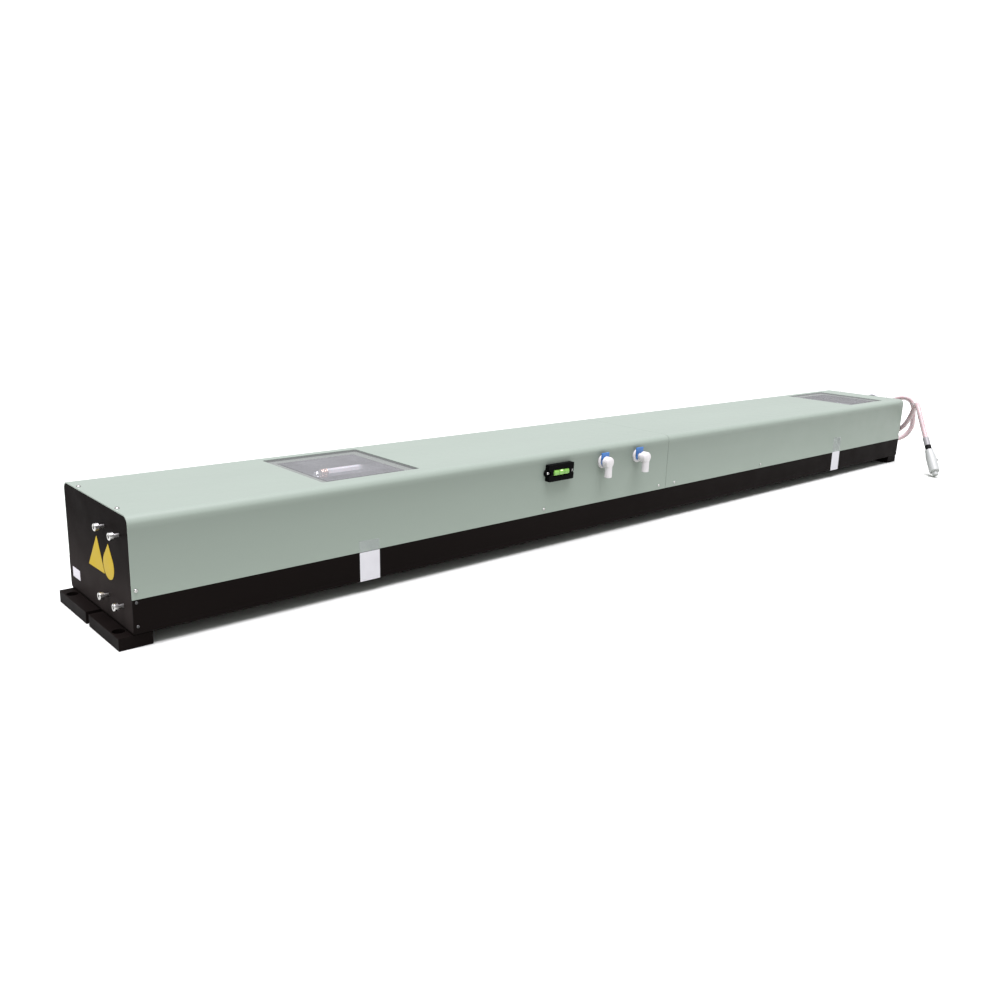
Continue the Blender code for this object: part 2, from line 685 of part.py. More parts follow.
def make_window(label, x_mid):
    """Rim under the cut-out, and the acrylic pane that lies on it."""
    pane_top = HOUSING_HEIGHT - PANE_RECESS
    pane_low = pane_top - PANE_THICKNESS
    rim_top = HOUSING_HEIGHT - COVER_SHEET - FIT
    ledge = pane_low - FIT
    rim_low = ledge - RIM_SHEET
    half_x = WINDOW_LENGTH / 2
    half_y = WINDOW_WIDTH / 2
    rim = plate(label + "_window_rim",
                rounded_rectangle((x_mid - half_x - RIM_LAP, MID_Y - half_y - RIM_LAP),
                                  (x_mid + half_x + RIM_LAP, MID_Y + half_y + RIM_LAP),
                                  WINDOW_CORNER + RIM_LAP, 4),
                rim_top - rim_low, FLAT, (0, 0, (rim_top + rim_low) / 2), SAGE)
    cut(rim,
        window_cutter(label + "_pane_pocket", x_mid, 0.0, ledge, HOUSING_HEIGHT),
        window_cutter(label + "_opening", x_mid, -WINDOW_RIM, rim_low - 0.01,
                      HOUSING_HEIGHT))
    plate(label + "_window_pane",
          rounded_rectangle((x_mid - half_x + FIT, MID_Y - half_y + FIT),
                            (x_mid + half_x - FIT, MID_Y + half_y - FIT),
                            WINDOW_CORNER, 4),
          PANE_THICKNESS, FLAT, (0, 0, (pane_top + pane_low) / 2), ACRYLIC)


def end_plate_outline():
    """Outline that fills the folded sheets, less a small clearance."""
    low = BASE_SHEET + FIT
    side = BASE_SHEET + FIT
    top = HOUSING_HEIGHT - COVER_SHEET - FIT
    w = HOUSING_WIDTH
    r_low = max(BASE_FOLD - BASE_SHEET, 0.001)
    r_top = COVER_FOLD - COVER_SHEET
    points = arc((w - side - r_low, low + r_low), r_low, -90, 0, 5)
    points += arc((w - side - r_top, top - r_top), r_top, 0, 90, 7)
    points += arc((side + r_top, top - r_top), r_top, 90, 180, 7)
    points += arc((side + r_low, low + r_low), r_low, 180, 270, 5)
    return points


def plate_bolt_places():
    """The four bolts stand in a rectangle round the near tube, a little to one side."""
    return [(NEAR_TUBE_Y - PLATE_BOLT_SHIFT_Y + sy * PLATE_BOLT_PITCH_Y / 2,
             TUBE_AXIS_Z + PLATE_BOLT_SHIFT_Z + sz * PLATE_BOLT_PITCH_Z / 2)
            for sz in (1, -1) for sy in (-1, 1)]


def make_end_plates():
    """Front plate with aperture and bolt holes, rear plate with exits."""
    front = plate("front_end_plate", end_plate_outline(), PLATE_THICKNESS,
                  ACROSS, (PLATE_THICKNESS / 2, 0, 0), BLACK_ANODISED)
    cut(front, rod("beam_aperture", (-0.01, NEAR_TUBE_Y, TUBE_AXIS_Z), (1, 0, 0),
                   APERTURE_RADIUS, PLATE_THICKNESS + 0.02, segments=SEGMENTS,
                   cutter=True))
    for i, (y, z) in enumerate(plate_bolt_places(), 1):
        cut(front, rod("plate_hole_%d" % i, (-0.01, y, z), (1, 0, 0),
                       PLATE_BOLT_RADIUS + FIT, PLATE_THICKNESS + 0.02,
                       cutter=True))
    rear = plate("rear_end_plate", end_plate_outline(), PLATE_THICKNESS, ACROSS,
                 (REAR_PLATE_X + PLATE_THICKNESS / 2, 0, 0), BLACK_ANODISED)
    cut(rear,
        rod("gland_hole", (REAR_PLATE_X - 0.01, GLAND_Y, GLAND_Z), (1, 0, 0),
            GLAND_BARREL_RADIUS + FIT, PLATE_THICKNESS + 0.02,
            segments=SEGMENTS, cutter=True),
        rod("grommet_hole", (REAR_PLATE_X - 0.01, GROMMET_Y, GROMMET_Z),
            (1, 0, 0), GROMMET_NECK_RADIUS + FIT, PLATE_THICKNESS + 0.02,
            cutter=True))


def make_plate_bolts():
    """Socket-head bolts that stand off the plate and thread into the bracket."""
    head_x = -PLATE_BOLT_STANDOFF - PLATE_BOLT_HEAD_HEIGHT
    tip_x = FRONT_BRACKET_X + BRACKET_THICKNESS
    length = tip_x - head_x
    socket = PLATE_BOLT_HEAD_RADIUS * 0.5
    profile = [(0.0, length), (PLATE_BOLT_RADIUS, length),
               (PLATE_BOLT_RADIUS, PLATE_BOLT_HEAD_HEIGHT),
               (PLATE_BOLT_HEAD_RADIUS, PLATE_BOLT_HEAD_HEIGHT),
               (PLATE_BOLT_HEAD_RADIUS, PLATE_BOLT_HEAD_HEIGHT * 0.15),
               (PLATE_BOLT_HEAD_RADIUS * 0.88, 0.0), (socket, 0.0),
               (socket, PLATE_BOLT_HEAD_HEIGHT * 0.55),
               (0.0, PLATE_BOLT_HEAD_HEIGHT * 0.55)]
    for i, (y, z) in enumerate(plate_bolt_places(), 1):
        turned("plate_bolt_%d" % i, profile, (head_x, y, z), (1, 0, 0), STEEL,
               steps=SMALL_SEGMENTS)


def make_foot(name, x0, slot_side):
    """Foot bar with an open slot and two counterbored bolt holes.

    The front bar is bolted down from above, the rear bar up into the base.
    """
    x1 = x0 + FOOT_DEPTH
    y0 = FOOT_INSET
    y1 = HOUSING_WIDTH - FOOT_INSET
    half = FOOT_SLOT_WIDTH / 2
    bottom = FOOT_SLOT_DEPTH - half
    if slot_side < 0:
        slot = [(x0, MID_Y + half)]
        slot += arc((x0 + bottom, MID_Y), half, 90, -90, 9)
        slot += [(x0, MID_Y - half)]
        outline = [(x0, y0), (x1, y0), (x1, y1), (x0, y1)] + slot
        bolt_x = x0 + FOOT_BOLT_INSET_X
    else:
        slot = [(x1, MID_Y - half)]
        slot += arc((x1 - bottom, MID_Y), half, 270, 90, 9)
        slot += [(x1, MID_Y + half)]
        outline = [(x0, y0), (x1, y0)] + slot + [(x1, y1), (x0, y1)]
        bolt_x = x1 - FOOT_BOLT_INSET_X
    foot = plate(name, outline, FOOT_HEIGHT, FLAT,
                 (0, 0, -FIT - FOOT_HEIGHT / 2), BLACK_COAT)
    low = -FIT - FOOT_HEIGHT - 0.005
    if slot_side < 0:
        wide = -FIT - FOOT_COUNTERBORE_DEPTH
    else:
        wide = low
    for label, y in (("near", FOOT_INSET + FOOT_BOLT_INSET_Y),
                     ("far", HOUSING_WIDTH - FOOT_INSET - FOOT_BOLT_INSET_Y)):
        cut(foot,
            rod("%s_%s_bore" % (name, label), (bolt_x, y, low), (0, 0, 1),
                FOOT_BOLT_RADIUS, FOOT_HEIGHT + 0.01, cutter=True),
            rod("%s_%s_counterbore" % (name, label), (bolt_x, y, wide),
                (0, 0, 1), FOOT_COUNTERBORE_RADIUS,
                FOOT_COUNTERBORE_DEPTH + 0.005, segments=24, cutter=True))


# Glass laser tubes

def glass_profile():
    """Wall of the outer jacket: neck, dome, barrel, dome, neck."""
    barrel = TUBE_RADIUS
    neck = NECK_RADIUS
    wall = GLASS_WALL
    a = NECK_FRONT_X
    d = NECK_REAR_X
    b = a + NECK_LENGTH
    c = d - NECK_LENGTH
    dome = DOME_LENGTH

    def shoulder(r_in, r_out, x_neck, x_barrel):
        points = []
        for k in range(6):
            t = math.radians(90 * k / 5)
            points.append((r_in + (r_out - r_in) * math.sin(t),
                           x_neck + (x_barrel - x_neck) * (1 - math.cos(t))))
        return points

    outer = [(neck, d)]
    outer += shoulder(neck, barrel, c, c - dome)
    outer += reversed(shoulder(neck, barrel, b, b + dome))
    outer += [(neck, a)]
    neck_in = neck - NECK_WALL
    inner = [(neck_in, a)]
    inner += shoulder(neck_in, barrel - wall, b + wall, b + dome)
    inner += reversed(shoulder(neck_in, barrel - wall, c - wall, c - dome))
    inner += [(neck_in, d)]
    return outer + inner


def core_profile():
    """Discharge tube with the water jacket's outside, one closed wall."""
    start = NECK_FRONT_X + NECK_LENGTH + DOME_LENGTH + CORE_INSET
    end = NECK_REAR_X - NECK_LENGTH - DOME_LENGTH - CORE_INSET
    jacket_start = start + JACKET_INSET
    jacket_end = end - JACKET_INSET
    tube_out = BORE_RADIUS + BORE_WALL
    r = WATER_JACKET_RADIUS
    lead_in = r - tube_out
    return [(tube_out, end), (tube_out, jacket_end),
            (r - lead_in * 0.3, jacket_end - lead_in * 0.25),
            (r, jacket_end - lead_in), (r, jacket_start + lead_in),
            (r - lead_in * 0.3, jacket_start + lead_in * 0.25),
            (tube_out, jacket_start), (tube_out, start),
            (BORE_RADIUS, start), (BORE_RADIUS, end)]


def water_profile():
    """Water space between the discharge tube and the water jacket."""
    start = (NECK_FRONT_X + NECK_LENGTH + DOME_LENGTH + CORE_INSET
             + JACKET_INSET)
    end = (NECK_REAR_X - NECK_LENGTH - DOME_LENGTH - CORE_INSET
           - JACKET_INSET)
    tube_out = BORE_RADIUS + BORE_WALL
    r = WATER_JACKET_RADIUS - WATER_JACKET_WALL
    margin = WATER_JACKET_RADIUS - tube_out
    return [(r, end - margin), (r, start + margin),
            (tube_out, start + margin), (tube_out, end - margin)]


def nozzle_route(x, y, overshoot=0.0):
    """Water nozzle: up through the jacket, then bent back along the tube."""
    low = TUBE_AXIS_Z + WATER_JACKET_RADIUS - WATER_JACKET_WALL / 2 - overshoot
    bend = NOZZLE_BEND
    points = [(x, y, low), (x, y, TUBE_AXIS_Z + TUBE_RADIUS - GLASS_WALL)]
    for k in range(6):
        a = math.radians(90 * k / 5)
        points.append((x + bend * (1 - math.cos(a)), y,
                       NOZZLE_Z - bend + bend * math.sin(a)))
    points.append((x + NOZZLE_STUB + overshoot, y, NOZZLE_Z))
    return points


def make_glass(label, y):
    """One sealed glass tube: jacket, cooled discharge bore and nozzles."""
    axis = (0, y, TUBE_AXIS_Z)
    glass = turned("laser_tube_" + label, glass_profile(), axis, (1, 0, 0),
                   GLASS, steps=SEGMENTS, closed=True)
    core = turned("core_" + label, core_profile(), axis, (1, 0, 0),
                  steps=24, closed=True, cutter=True)
    water = turned("water_" + label, water_profile(), axis, (1, 0, 0),
                   steps=24, closed=True, cutter=True)
    join(glass, core)
    for end, x in (("front", FRONT_NOZZLE_X), ("rear", REAR_NOZZLE_X)):
        tag = "%s_%s" % (label, end)
        join(glass, tube("nozzle_" + tag, nozzle_route(x, y), NOZZLE_RADIUS,
                         cutter=True))
    cut(glass, water)
    for end, x in (("front", FRONT_NOZZLE_X), ("rear", REAR_NOZZLE_X)):
        tag = "%s_%s" % (label, end)
        cut(glass, tube("nozzle_bore_" + tag, nozzle_route(x, y, 0.003),
                        NOZZLE_BORE, cutter=True))
    for end, x in electrode_places():
        cut(glass, rod("pin_hole_%s_%s" % (label, end),
                       (x, y, TUBE_AXIS_Z + TUBE_RADIUS - 0.006), (0, 0, 1),
                       ELECTRODE_PIN + FIT, 0.012, segments=12, cutter=True))
    return glass


def electrode_places():
    """Front and rear electrode, each by the open end of the discharge bore."""
    front = NECK_FRONT_X + NECK_LENGTH + DOME_LENGTH + ELECTRODE_OFFSET
    rear = NECK_REAR_X - NECK_LENGTH - DOME_LENGTH - ELECTRODE_OFFSET
    return (("front", front), ("rear", rear))


def make_electrode(label, y, end, pin_x):
    """Metal sleeve round the bore's open end, with its pin up to the wire."""
    inward = 1 if end == "front" else -1
    x0 = pin_x - inward * ELECTRODE_PIN * 2
    r = ELECTRODE_RADIUS
    ri = r - ELECTRODE_WALL
    ring = [(r, ELECTRODE_LENGTH), (r, 0.0), (ri, 0.0), (ri, ELECTRODE_LENGTH)]
    sleeve = turned("electrode_%s_%s" % (label, end), ring,
                    (x0, y, TUBE_AXIS_Z), (inward, 0, 0), NICKEL, steps=24,
                    closed=True)
    reach = TUBE_RADIUS + ELECTRODE_PIN_REACH - ri - ELECTRODE_WALL / 2
    join(sleeve, rod("pin_%s_%s" % (label, end),
                     (pin_x, y, TUBE_AXIS_Z + ri + ELECTRODE_WALL / 2),
                     (0, 0, 1), ELECTRODE_PIN, reach, segments=12, cutter=True))


# Brackets, mirrors and folding block

def make_bracket(name, x0, toward):
    """Angle bracket across the base, bored for both tube necks."""
    x1 = x0 + BRACKET_THICKNESS
    low = FLOOR_Z
    if toward > 0:
        outline = [(x0, low), (x0 + BRACKET_FOOT, low),
                   (x0 + BRACKET_FOOT, low + BRACKET_FOOT_THICKNESS),
                   (x1, low + BRACKET_FOOT_THICKNESS), (x1, BRACKET_TOP),
                   (x0, BRACKET_TOP)]
    else:
        outline = [(x1 - BRACKET_FOOT, low), (x1, low), (x1, BRACKET_TOP),
                   (x0, BRACKET_TOP), (x0, low + BRACKET_FOOT_THICKNESS),
                   (x1 - BRACKET_FOOT, low + BRACKET_FOOT_THICKNESS)]
    width = HOUSING_WIDTH - 2 * BRACKET_SIDE_GAP
    return plate(name, outline, width, UPRIGHT, (0, MID_Y, 0), ALUMINIUM)


def make_front_optics():
    """Front bracket with the output mirror and the rear mirror side by side."""
    bracket = make_bracket("front_bracket", FRONT_BRACKET_X, 1)
    for label, y in (("near", NEAR_TUBE_Y), ("far", FAR_TUBE_Y)):
        cut(bracket, rod("mount_bore_" + label,
                         (FRONT_BRACKET_X - 0.01, y, TUBE_AXIS_Z), (1, 0, 0),
                         MOUNT_SLEEVE_RADIUS + FIT, BRACKET_THICKNESS + 0.02,
                         segments=SEGMENTS, cutter=True))
    for i, (y, z) in enumerate(plate_bolt_places(), 1):
        cut(bracket, rod("bracket_hole_%d" % i, (FRONT_BRACKET_X - 0.01, y, z),
                         (1, 0, 0), PLATE_BOLT_RADIUS + FIT,
                         BRACKET_THICKNESS + 0.02, cutter=True))
    face = FRONT_BRACKET_X - FIT - MOUNT_FLANGE_THICKNESS
    end = MOUNT_SLEEVE_END_X - face
    flange = MOUNT_FLANGE_THICKNESS
    socket = MOUNT_NECK_SOCKET_X - face
    neck = NECK_RADIUS + FIT
    seat = MIRROR_RADIUS + FIT
    for label, y, name in (("near", NEAR_TUBE_Y, "output_mirror"),
                           ("far", FAR_TUBE_Y, "rear_mirror")):
        profile = [(MOUNT_SLEEVE_RADIUS, end), (MOUNT_SLEEVE_RADIUS, flange),
                   (MOUNT_FLANGE_RADIUS, flange),
                   (MOUNT_FLANGE_RADIUS, MOUNT_CHAMFER),
                   (MOUNT_FLANGE_RADIUS - MOUNT_CHAMFER, 0.0), (seat, 0.0),
                   (seat, MIRROR_SEAT_DEPTH), (MOUNT_BORE_RADIUS, MIRROR_SEAT_DEPTH),
                   (MOUNT_BORE_RADIUS, socket), (neck, socket), (neck, end)]
        turned(name + "_mount", profile, (face, y, TUBE_AXIS_Z), (1, 0, 0),
               ALUMINIUM, closed=True)
        rod(name, (face + MIRROR_SEAT_DEPTH - FIT - MIRROR_THICKNESS, y,
                   TUBE_AXIS_Z), (1, 0, 0), MIRROR_RADIUS, MIRROR_THICKNESS,
            AMBER if label == "near" else GOLD, segments=SEGMENTS)


def make_folding_block():
    """Block that sends the beam from one tube to the other by two mirrors."""
    bracket = make_bracket("rear_bracket", REAR_BRACKET_X, -1)
    front_x = REAR_BRACKET_X + BRACKET_THICKNESS + FIT
    y0 = NEAR_TUBE_Y - FOLD_BLOCK_MARGIN
    y1 = FAR_TUBE_Y + FOLD_BLOCK_MARGIN
    rear = FOLD_BLOCK_REAR_X
    back = rear - FOLD_X
    corner_x = FOLD_X - FOLD_BLOCK_MARGIN
    outline = [(front_x, y0), (corner_x, y0), (rear, NEAR_TUBE_Y + back),
               (rear, FAR_TUBE_Y - back), (corner_x, y1), (front_x, y1)]
    block = plate("folding_block", outline, 2 * FOLD_BLOCK_HALF_HEIGHT, FLAT,
                  (0, 0, TUBE_AXIS_Z), ALUMINIUM)
    for label, y in (("near", NEAR_TUBE_Y), ("far", FAR_TUBE_Y)):
        cut(bracket, rod("neck_bore_" + label,
                         (REAR_BRACKET_X - 0.01, y, TUBE_AXIS_Z), (1, 0, 0),
                         NECK_RADIUS + 2 * FIT, BRACKET_THICKNESS + 0.02,
                         segments=SEGMENTS, cutter=True))
        cut(block,
            rod("neck_socket_" + label, (front_x - 0.01, y, TUBE_AXIS_Z),
                (1, 0, 0), NECK_RADIUS + FIT,
                FOLD_NECK_SOCKET_END_X - front_x + 0.01, segments=SEGMENTS,
                cutter=True),
            rod("beam_bore_" + label, (front_x, y, TUBE_AXIS_Z), (1, 0, 0),
                FOLD_BEAM_RADIUS, FOLD_X - front_x + FOLD_BEAM_OVERRUN,
                segments=24, cutter=True))
        side = -1 if label == "near" else 1
        out = Vector((1, side, 0)).normalized()
        seat = Vector((FOLD_X, y, TUBE_AXIS_Z)) + out * FIT
        turned("fold_mirror_" + label,
               [(0.0, FOLD_CELL_HEIGHT),
                (FOLD_CELL_RADIUS - FOLD_CELL_CHAMFER, FOLD_CELL_HEIGHT),
                (FOLD_CELL_RADIUS, FOLD_CELL_HEIGHT - FOLD_CELL_CHAMFER),
                (FOLD_CELL_RADIUS, 0.0), (0.0, 0.0)],
               seat, out, GOLD, steps=24)
    cut(block, rod("cross_bore", (FOLD_X, y0 - 0.01, TUBE_AXIS_Z), (0, 1, 0),
                   FOLD_CROSS_RADIUS, y1 - y0 + 0.02, segments=20, cutter=True))


def make_saddles():
    """Cradles across the base, and a strap over both tubes at each cradle."""
    seat = TUBE_RADIUS + FIT
    drop = TUBE_AXIS_Z - SADDLE_TOP
    spread = math.degrees(math.asin(drop / seat))
    y0 = FLANGE_INNER + SADDLE_SIDE_GAP
    y1 = HOUSING_WIDTH - y0
    foot = BASE_FOLD + SADDLE_SIDE_GAP
    step = BASE_HEIGHT - BASE_SHEET - FLANGE_INNER
    outline = [(y1, SADDLE_TOP)]
    outline += arc((FAR_TUBE_Y, TUBE_AXIS_Z), seat, -spread, -180 + spread, 13)
    outline += arc((NEAR_TUBE_Y, TUBE_AXIS_Z), seat, -spread, -180 + spread, 13)
    outline += [(y0, SADDLE_TOP), (y0, step), (foot, FLOOR_Z),
                (HOUSING_WIDTH - foot, FLOOR_Z), (y1, step)]
    outer = seat + STRAP_SHEET
    ear_low = SADDLE_TOP + FIT
    ear_top = ear_low + STRAP_SHEET
    a_in = math.degrees(math.asin((TUBE_AXIS_Z - ear_low) / seat))
    a_out = math.degrees(math.asin((TUBE_AXIS_Z - ear_top) / outer))
    strap = [(FAR_TUBE_Y + STRAP_EAR, ear_low), (FAR_TUBE_Y + STRAP_EAR, ear_top)]
    strap += arc((FAR_TUBE_Y, TUBE_AXIS_Z), outer, -a_out, 180 + a_out, 21)
    strap += arc((NEAR_TUBE_Y, TUBE_AXIS_Z), outer, -a_out, 180 + a_out, 21)
    strap += [(NEAR_TUBE_Y - STRAP_EAR, ear_top), (NEAR_TUBE_Y - STRAP_EAR, ear_low)]
    strap += arc((NEAR_TUBE_Y, TUBE_AXIS_Z), seat, 180 + a_in, -a_in, 21)
    strap += arc((FAR_TUBE_Y, TUBE_AXIS_Z), seat, 180 + a_in, -a_in, 21)
    for label, x in zip(("front", "middle", "rear"), SADDLE_XS):
        plate("saddle_" + label, outline, SADDLE_LENGTH, ACROSS, (x, 0, 0),
              BLACK_PLASTIC)
        plate("strap_" + label, strap, STRAP_WIDTH, ACROSS, (x, 0, 0), STEEL)


# Water fittings and hoses

def make_fitting(label, x, standoff):
    """Union through the cover, nut, locking clip and elbow.

    An elbow that is pulled out against its clip stands off by a few millimetres.
    """
    z = FITTING_Z
    face = UNION_FACE_Y
    back = ELBOW_BACK_Y - standoff
    leg_y = back - ELBOW_LENGTH + ELBOW_LEG_RADIUS
    stem_tip = back - ELBOW_SOCKET_DEPTH + FIT
    flange = face + UNION_FLANGE_THICKNESS
    profile = [(UNION_STEM_RADIUS, -stem_tip), (UNION_STEM_RADIUS, -face),
               (UNION_FLANGE_RADIUS - 0.0008, -face),
               (UNION_FLANGE_RADIUS, -face - 0.0008),
               (UNION_FLANGE_RADIUS, -flange),
               (UNION_THREAD_RADIUS, -flange),
               (UNION_THREAD_RADIUS, -UNION_THREAD_END),
               (NOZZLE_BORE, -UNION_THREAD_END), (NOZZLE_BORE, -stem_tip)]
    turned("water_union_" + label, profile, (x, 0, z), (0, -1, 0),
           WHITE_PLASTIC, steps=24, closed=True)
    nut_y = COVER_SHEET + FIT
    nut = rod("union_nut_" + label, (x, nut_y, z), (0, 1, 0), UNION_NUT_RADIUS,
              UNION_NUT_THICKNESS, WHITE_PLASTIC, segments=6)
    cut(nut, rod("union_nut_bore_" + label, (x, nut_y - 0.005, z), (0, 1, 0),
                 UNION_THREAD_RADIUS + FIT, UNION_NUT_THICKNESS + 0.01,
                 segments=24, cutter=True))
    ring = CLIP_RADIUS
    hole = UNION_STEM_RADIUS + FIT
    clip = [(x + CLIP_TAB_HALF_WIDTH, z + CLIP_TAB_HEIGHT),
            (x - CLIP_TAB_HALF_WIDTH, z + CLIP_TAB_HEIGHT),
            (x - CLIP_TAB_HALF_WIDTH, z + CLIP_SHOULDER)]
    clip += arc((x, z), ring, 160, 235, 7)
    clip += arc((x, z), hole, 235, -55, 17)
    clip += arc((x, z), ring, -55, 20, 7)
    clip += [(x + CLIP_TAB_HALF_WIDTH, z + CLIP_SHOULDER)]
    plate("clip_" + label, clip, CLIP_THICKNESS, UPRIGHT,
          (0, CLIP_Y + CLIP_THICKNESS / 2, 0), BLUE_PLASTIC)
    r = ELBOW_RADIUS
    length = ELBOW_LENGTH
    head = [(0.0, length)]
    head += [(r * math.sin(math.radians(a)),
              length - ELBOW_DOME * (1 - math.cos(math.radians(a))))
             for a in (30, 50, 70, 90)]
    head += [(r, 0.0008), (r - 0.0008, 0.0), (0.0, 0.0)]
    elbow = turned("elbow_" + label, head, (x, back, z), (0, -1, 0),
                   WHITE_PLASTIC, steps=24)
    leg = turned("elbow_leg_" + label,
                 [(0.0, ELBOW_LEG_LENGTH), (ELBOW_LEG_RADIUS - 0.0006, ELBOW_LEG_LENGTH),
                  (ELBOW_LEG_RADIUS, ELBOW_LEG_LENGTH - 0.0006),
                  (ELBOW_LEG_RADIUS, 0.0), (0.0, 0.0)],
                 (x, leg_y, z), (0, 0, -1), steps=24, cutter=True)
    join(elbow, leg)
    cut(elbow,
        rod("elbow_socket_" + label, (x, back + 0.005, z), (0, -1, 0),
            UNION_STEM_RADIUS + FIT, ELBOW_SOCKET_DEPTH + 0.005, segments=24,
            cutter=True),
        rod("elbow_bore_" + label, (x, leg_y, z - ELBOW_LEG_LENGTH - 0.005),
            (0, 0, 1), ELBOW_LEG_BORE, ELBOW_LEG_LENGTH + 0.005, segments=20,
            cutter=True))


def inner_elbow_route(x):
    """Barbed elbow behind the cover: in from the union, then forward."""
    y0 = UNION_THREAD_END + FIT
    bend = INNER_ELBOW_BEND
    points = [(x, y0, FITTING_Z)]
    for k in range(6):
        a = math.radians(90 * k / 5)
        points.append((x - bend * (1 - math.cos(a)),
                       y0 + INNER_ELBOW_STEM + bend * math.sin(a), FITTING_Z))
    points.append((x - INNER_ELBOW_REACH, y0 + INNER_ELBOW_STEM + bend, FITTING_Z))
    return points


def ease(value, low, high):
    """Share from nought to one that starts and ends softly."""
    t = min(max((value - low) / (high - low), 0.0), 1.0)
    return t * t * (3 - 2 * t)


def hose_knots(x_from, x_to, shares, aside, across, rise):
    """Hose run over the tubes, forward from an inner elbow to a nozzle.

    It starts and ends straight, moves aside until it lies over the near tube,
    then across to the far tube where that is asked, and rises on the way. Each
    move is given by the shares of the run between which it happens.
    """
    y0 = UNION_THREAD_END + FIT + INNER_ELBOW_STEM + INNER_ELBOW_BEND
    run = x_from - x_to
    straight = HOSE_STRAIGHT / run
    knots = []
    for t in (0.0, straight, *shares, 1.0 - straight, 1.0):
        y = y0 + (NEAR_TUBE_Y - y0) * ease(t, *aside)
        if across:
            y += TUBE_SPACING * ease(t, *across)
        knots.append((x_from - run * t, y,
                      FITTING_Z + (NOZZLE_Z - FITTING_Z) * ease(t, *rise)))
    return knots


def make_hoses():
    """Water hoses from the fittings to the nozzles, and across at the rear."""
    stub = FRONT_NOZZLE_X + NOZZLE_STUB + FIT
    for label, x, standoff in zip(("in", "out"), FITTING_XS,
                                  (0.0, ELBOW_OUT_STANDOFF)):
        tube("inner_elbow_" + label, inner_elbow_route(x), INNER_ELBOW_RADIUS,
             WHITE_PLASTIC)
        make_fitting(label, x, standoff)
    x_in = FITTING_XS[0] - INNER_ELBOW_REACH - FIT
    x_out = FITTING_XS[1] - INNER_ELBOW_REACH - FIT
    tube("hose_in",
         smooth_route(hose_knots(x_in, stub, (0.12, 0.18, 0.24, 0.32, 0.42, 0.56),
                                 (0.06, 0.46), None, (0.06, 0.28)), 0.016),
         HOSE_RADIUS, SILICONE)
    tube("hose_out",
         smooth_route(hose_knots(x_out, stub,
                                 (0.09, 0.13, 0.17, 0.25, 0.35, 0.5, 0.65, 0.8, 0.88),
                                 (0.05, 0.20), (0.18, 0.90), (0.05, 0.15)), 0.016),
         HOSE_RADIUS, SILICONE)
    top = NOZZLE_Z
    link_x = REAR_NOZZLE_X + NOZZLE_STUB + FIT
    bend_x = link_x + HOSE_STRAIGHT / 2
    half = TUBE_SPACING / 2
    link = [(link_x, FAR_TUBE_Y, top), (bend_x, FAR_TUBE_Y, top)]
    for k in range(1, 12):
        a = math.radians(90 - 180 * k / 12)
        link.append((bend_x + half * math.cos(a), MID_Y + half * math.sin(a), top))
    link += [(bend_x, NEAR_TUBE_Y, top), (link_x, NEAR_TUBE_Y, top)]
    tube("hose_link", link, HOSE_RADIUS, SILICONE)


# Spirit level

def make_level():
    """Screw-on level: body with bored ears, and its vial."""
    hl = LEVEL_LENGTH / 2
    hh = LEVEL_HEIGHT / 2
    y_back = -FIT
    body = plate("level_body",
                 rounded_rectangle((LEVEL_X - hl, LEVEL_Z - hh),
                                   (LEVEL_X + hl, LEVEL_Z + hh), LEVEL_CORNER, 3),
                 LEVEL_DEPTH, UPRIGHT, (0, y_back - LEVEL_DEPTH / 2, 0),
                 BLACK_PLASTIC)
    for label, side in (("front", -1), ("rear", 1)):
        ear_x = LEVEL_X + side * (hl - LEVEL_EAR_RADIUS * 0.25)
        join(body, rod("level_ear_" + label, (ear_x, y_back, LEVEL_Z),
                       (0, -1, 0), LEVEL_EAR_RADIUS, LEVEL_EAR_DEPTH,
                       segments=20, cutter=True))
        cut(body,
            rod("level_bore_" + label, (ear_x, y_back + 0.002, LEVEL_Z),
                (0, -1, 0), LEVEL_SHANK_RADIUS + FIT, LEVEL_DEPTH + 0.01,
                segments=12, cutter=True),
            rod("level_spot_" + label,
                (ear_x, y_back - LEVEL_EAR_DEPTH, LEVEL_Z), (0, -1, 0),
                LEVEL_SCREW_RADIUS + LEVEL_SCREW_CLEARANCE, LEVEL_DEPTH, segments=16,
                cutter=True))
    vl = LEVEL_VIAL_LENGTH / 2
    vh = LEVEL_VIAL_HEIGHT / 2
    face = y_back - LEVEL_DEPTH
    cut(body, box("level_pocket",
                  (LEVEL_X - vl - FIT, face - 0.005, LEVEL_Z - vh - FIT),
                  (LEVEL_X + vl + FIT, face + LEVEL_VIAL_DEPTH + FIT,
                   LEVEL_Z + vh + FIT), cutter=True))
    box("level_vial", (LEVEL_X - vl, face + FIT, LEVEL_Z - vh),
        (LEVEL_X + vl, face + LEVEL_VIAL_DEPTH, LEVEL_Z + vh), GREEN_VIAL,
        bevel=LEVEL_CORNER)


# Rear glands and leads

def make_gland():
    """Cable gland with a tapered boot, closed where the lead leaves it."""
    boot = GLAND_HEX_LENGTH + GLAND_BOOT_LENGTH
    inner = PLATE_THICKNESS + GLAND_INNER_LENGTH
    boot_base = GLAND_HEX_RADIUS * 0.80
    profile = [(0.0, boot), (GLAND_BOOT_TIP, boot),
               (boot_base, GLAND_HEX_LENGTH + GLAND_BOOT_LENGTH * 0.2),
               (boot_base, GLAND_HEX_LENGTH), (GLAND_HEX_RADIUS, GLAND_HEX_LENGTH),
               (GLAND_HEX_RADIUS, 0.0), (GLAND_BARREL_RADIUS, 0.0),
               (GLAND_BARREL_RADIUS, -inner), (0.0, -inner)]
    turned("hv_gland", profile, (HOUSING_LENGTH + FIT, GLAND_Y, GLAND_Z),
           (1, 0, 0), BLACK_PLASTIC, steps=24)


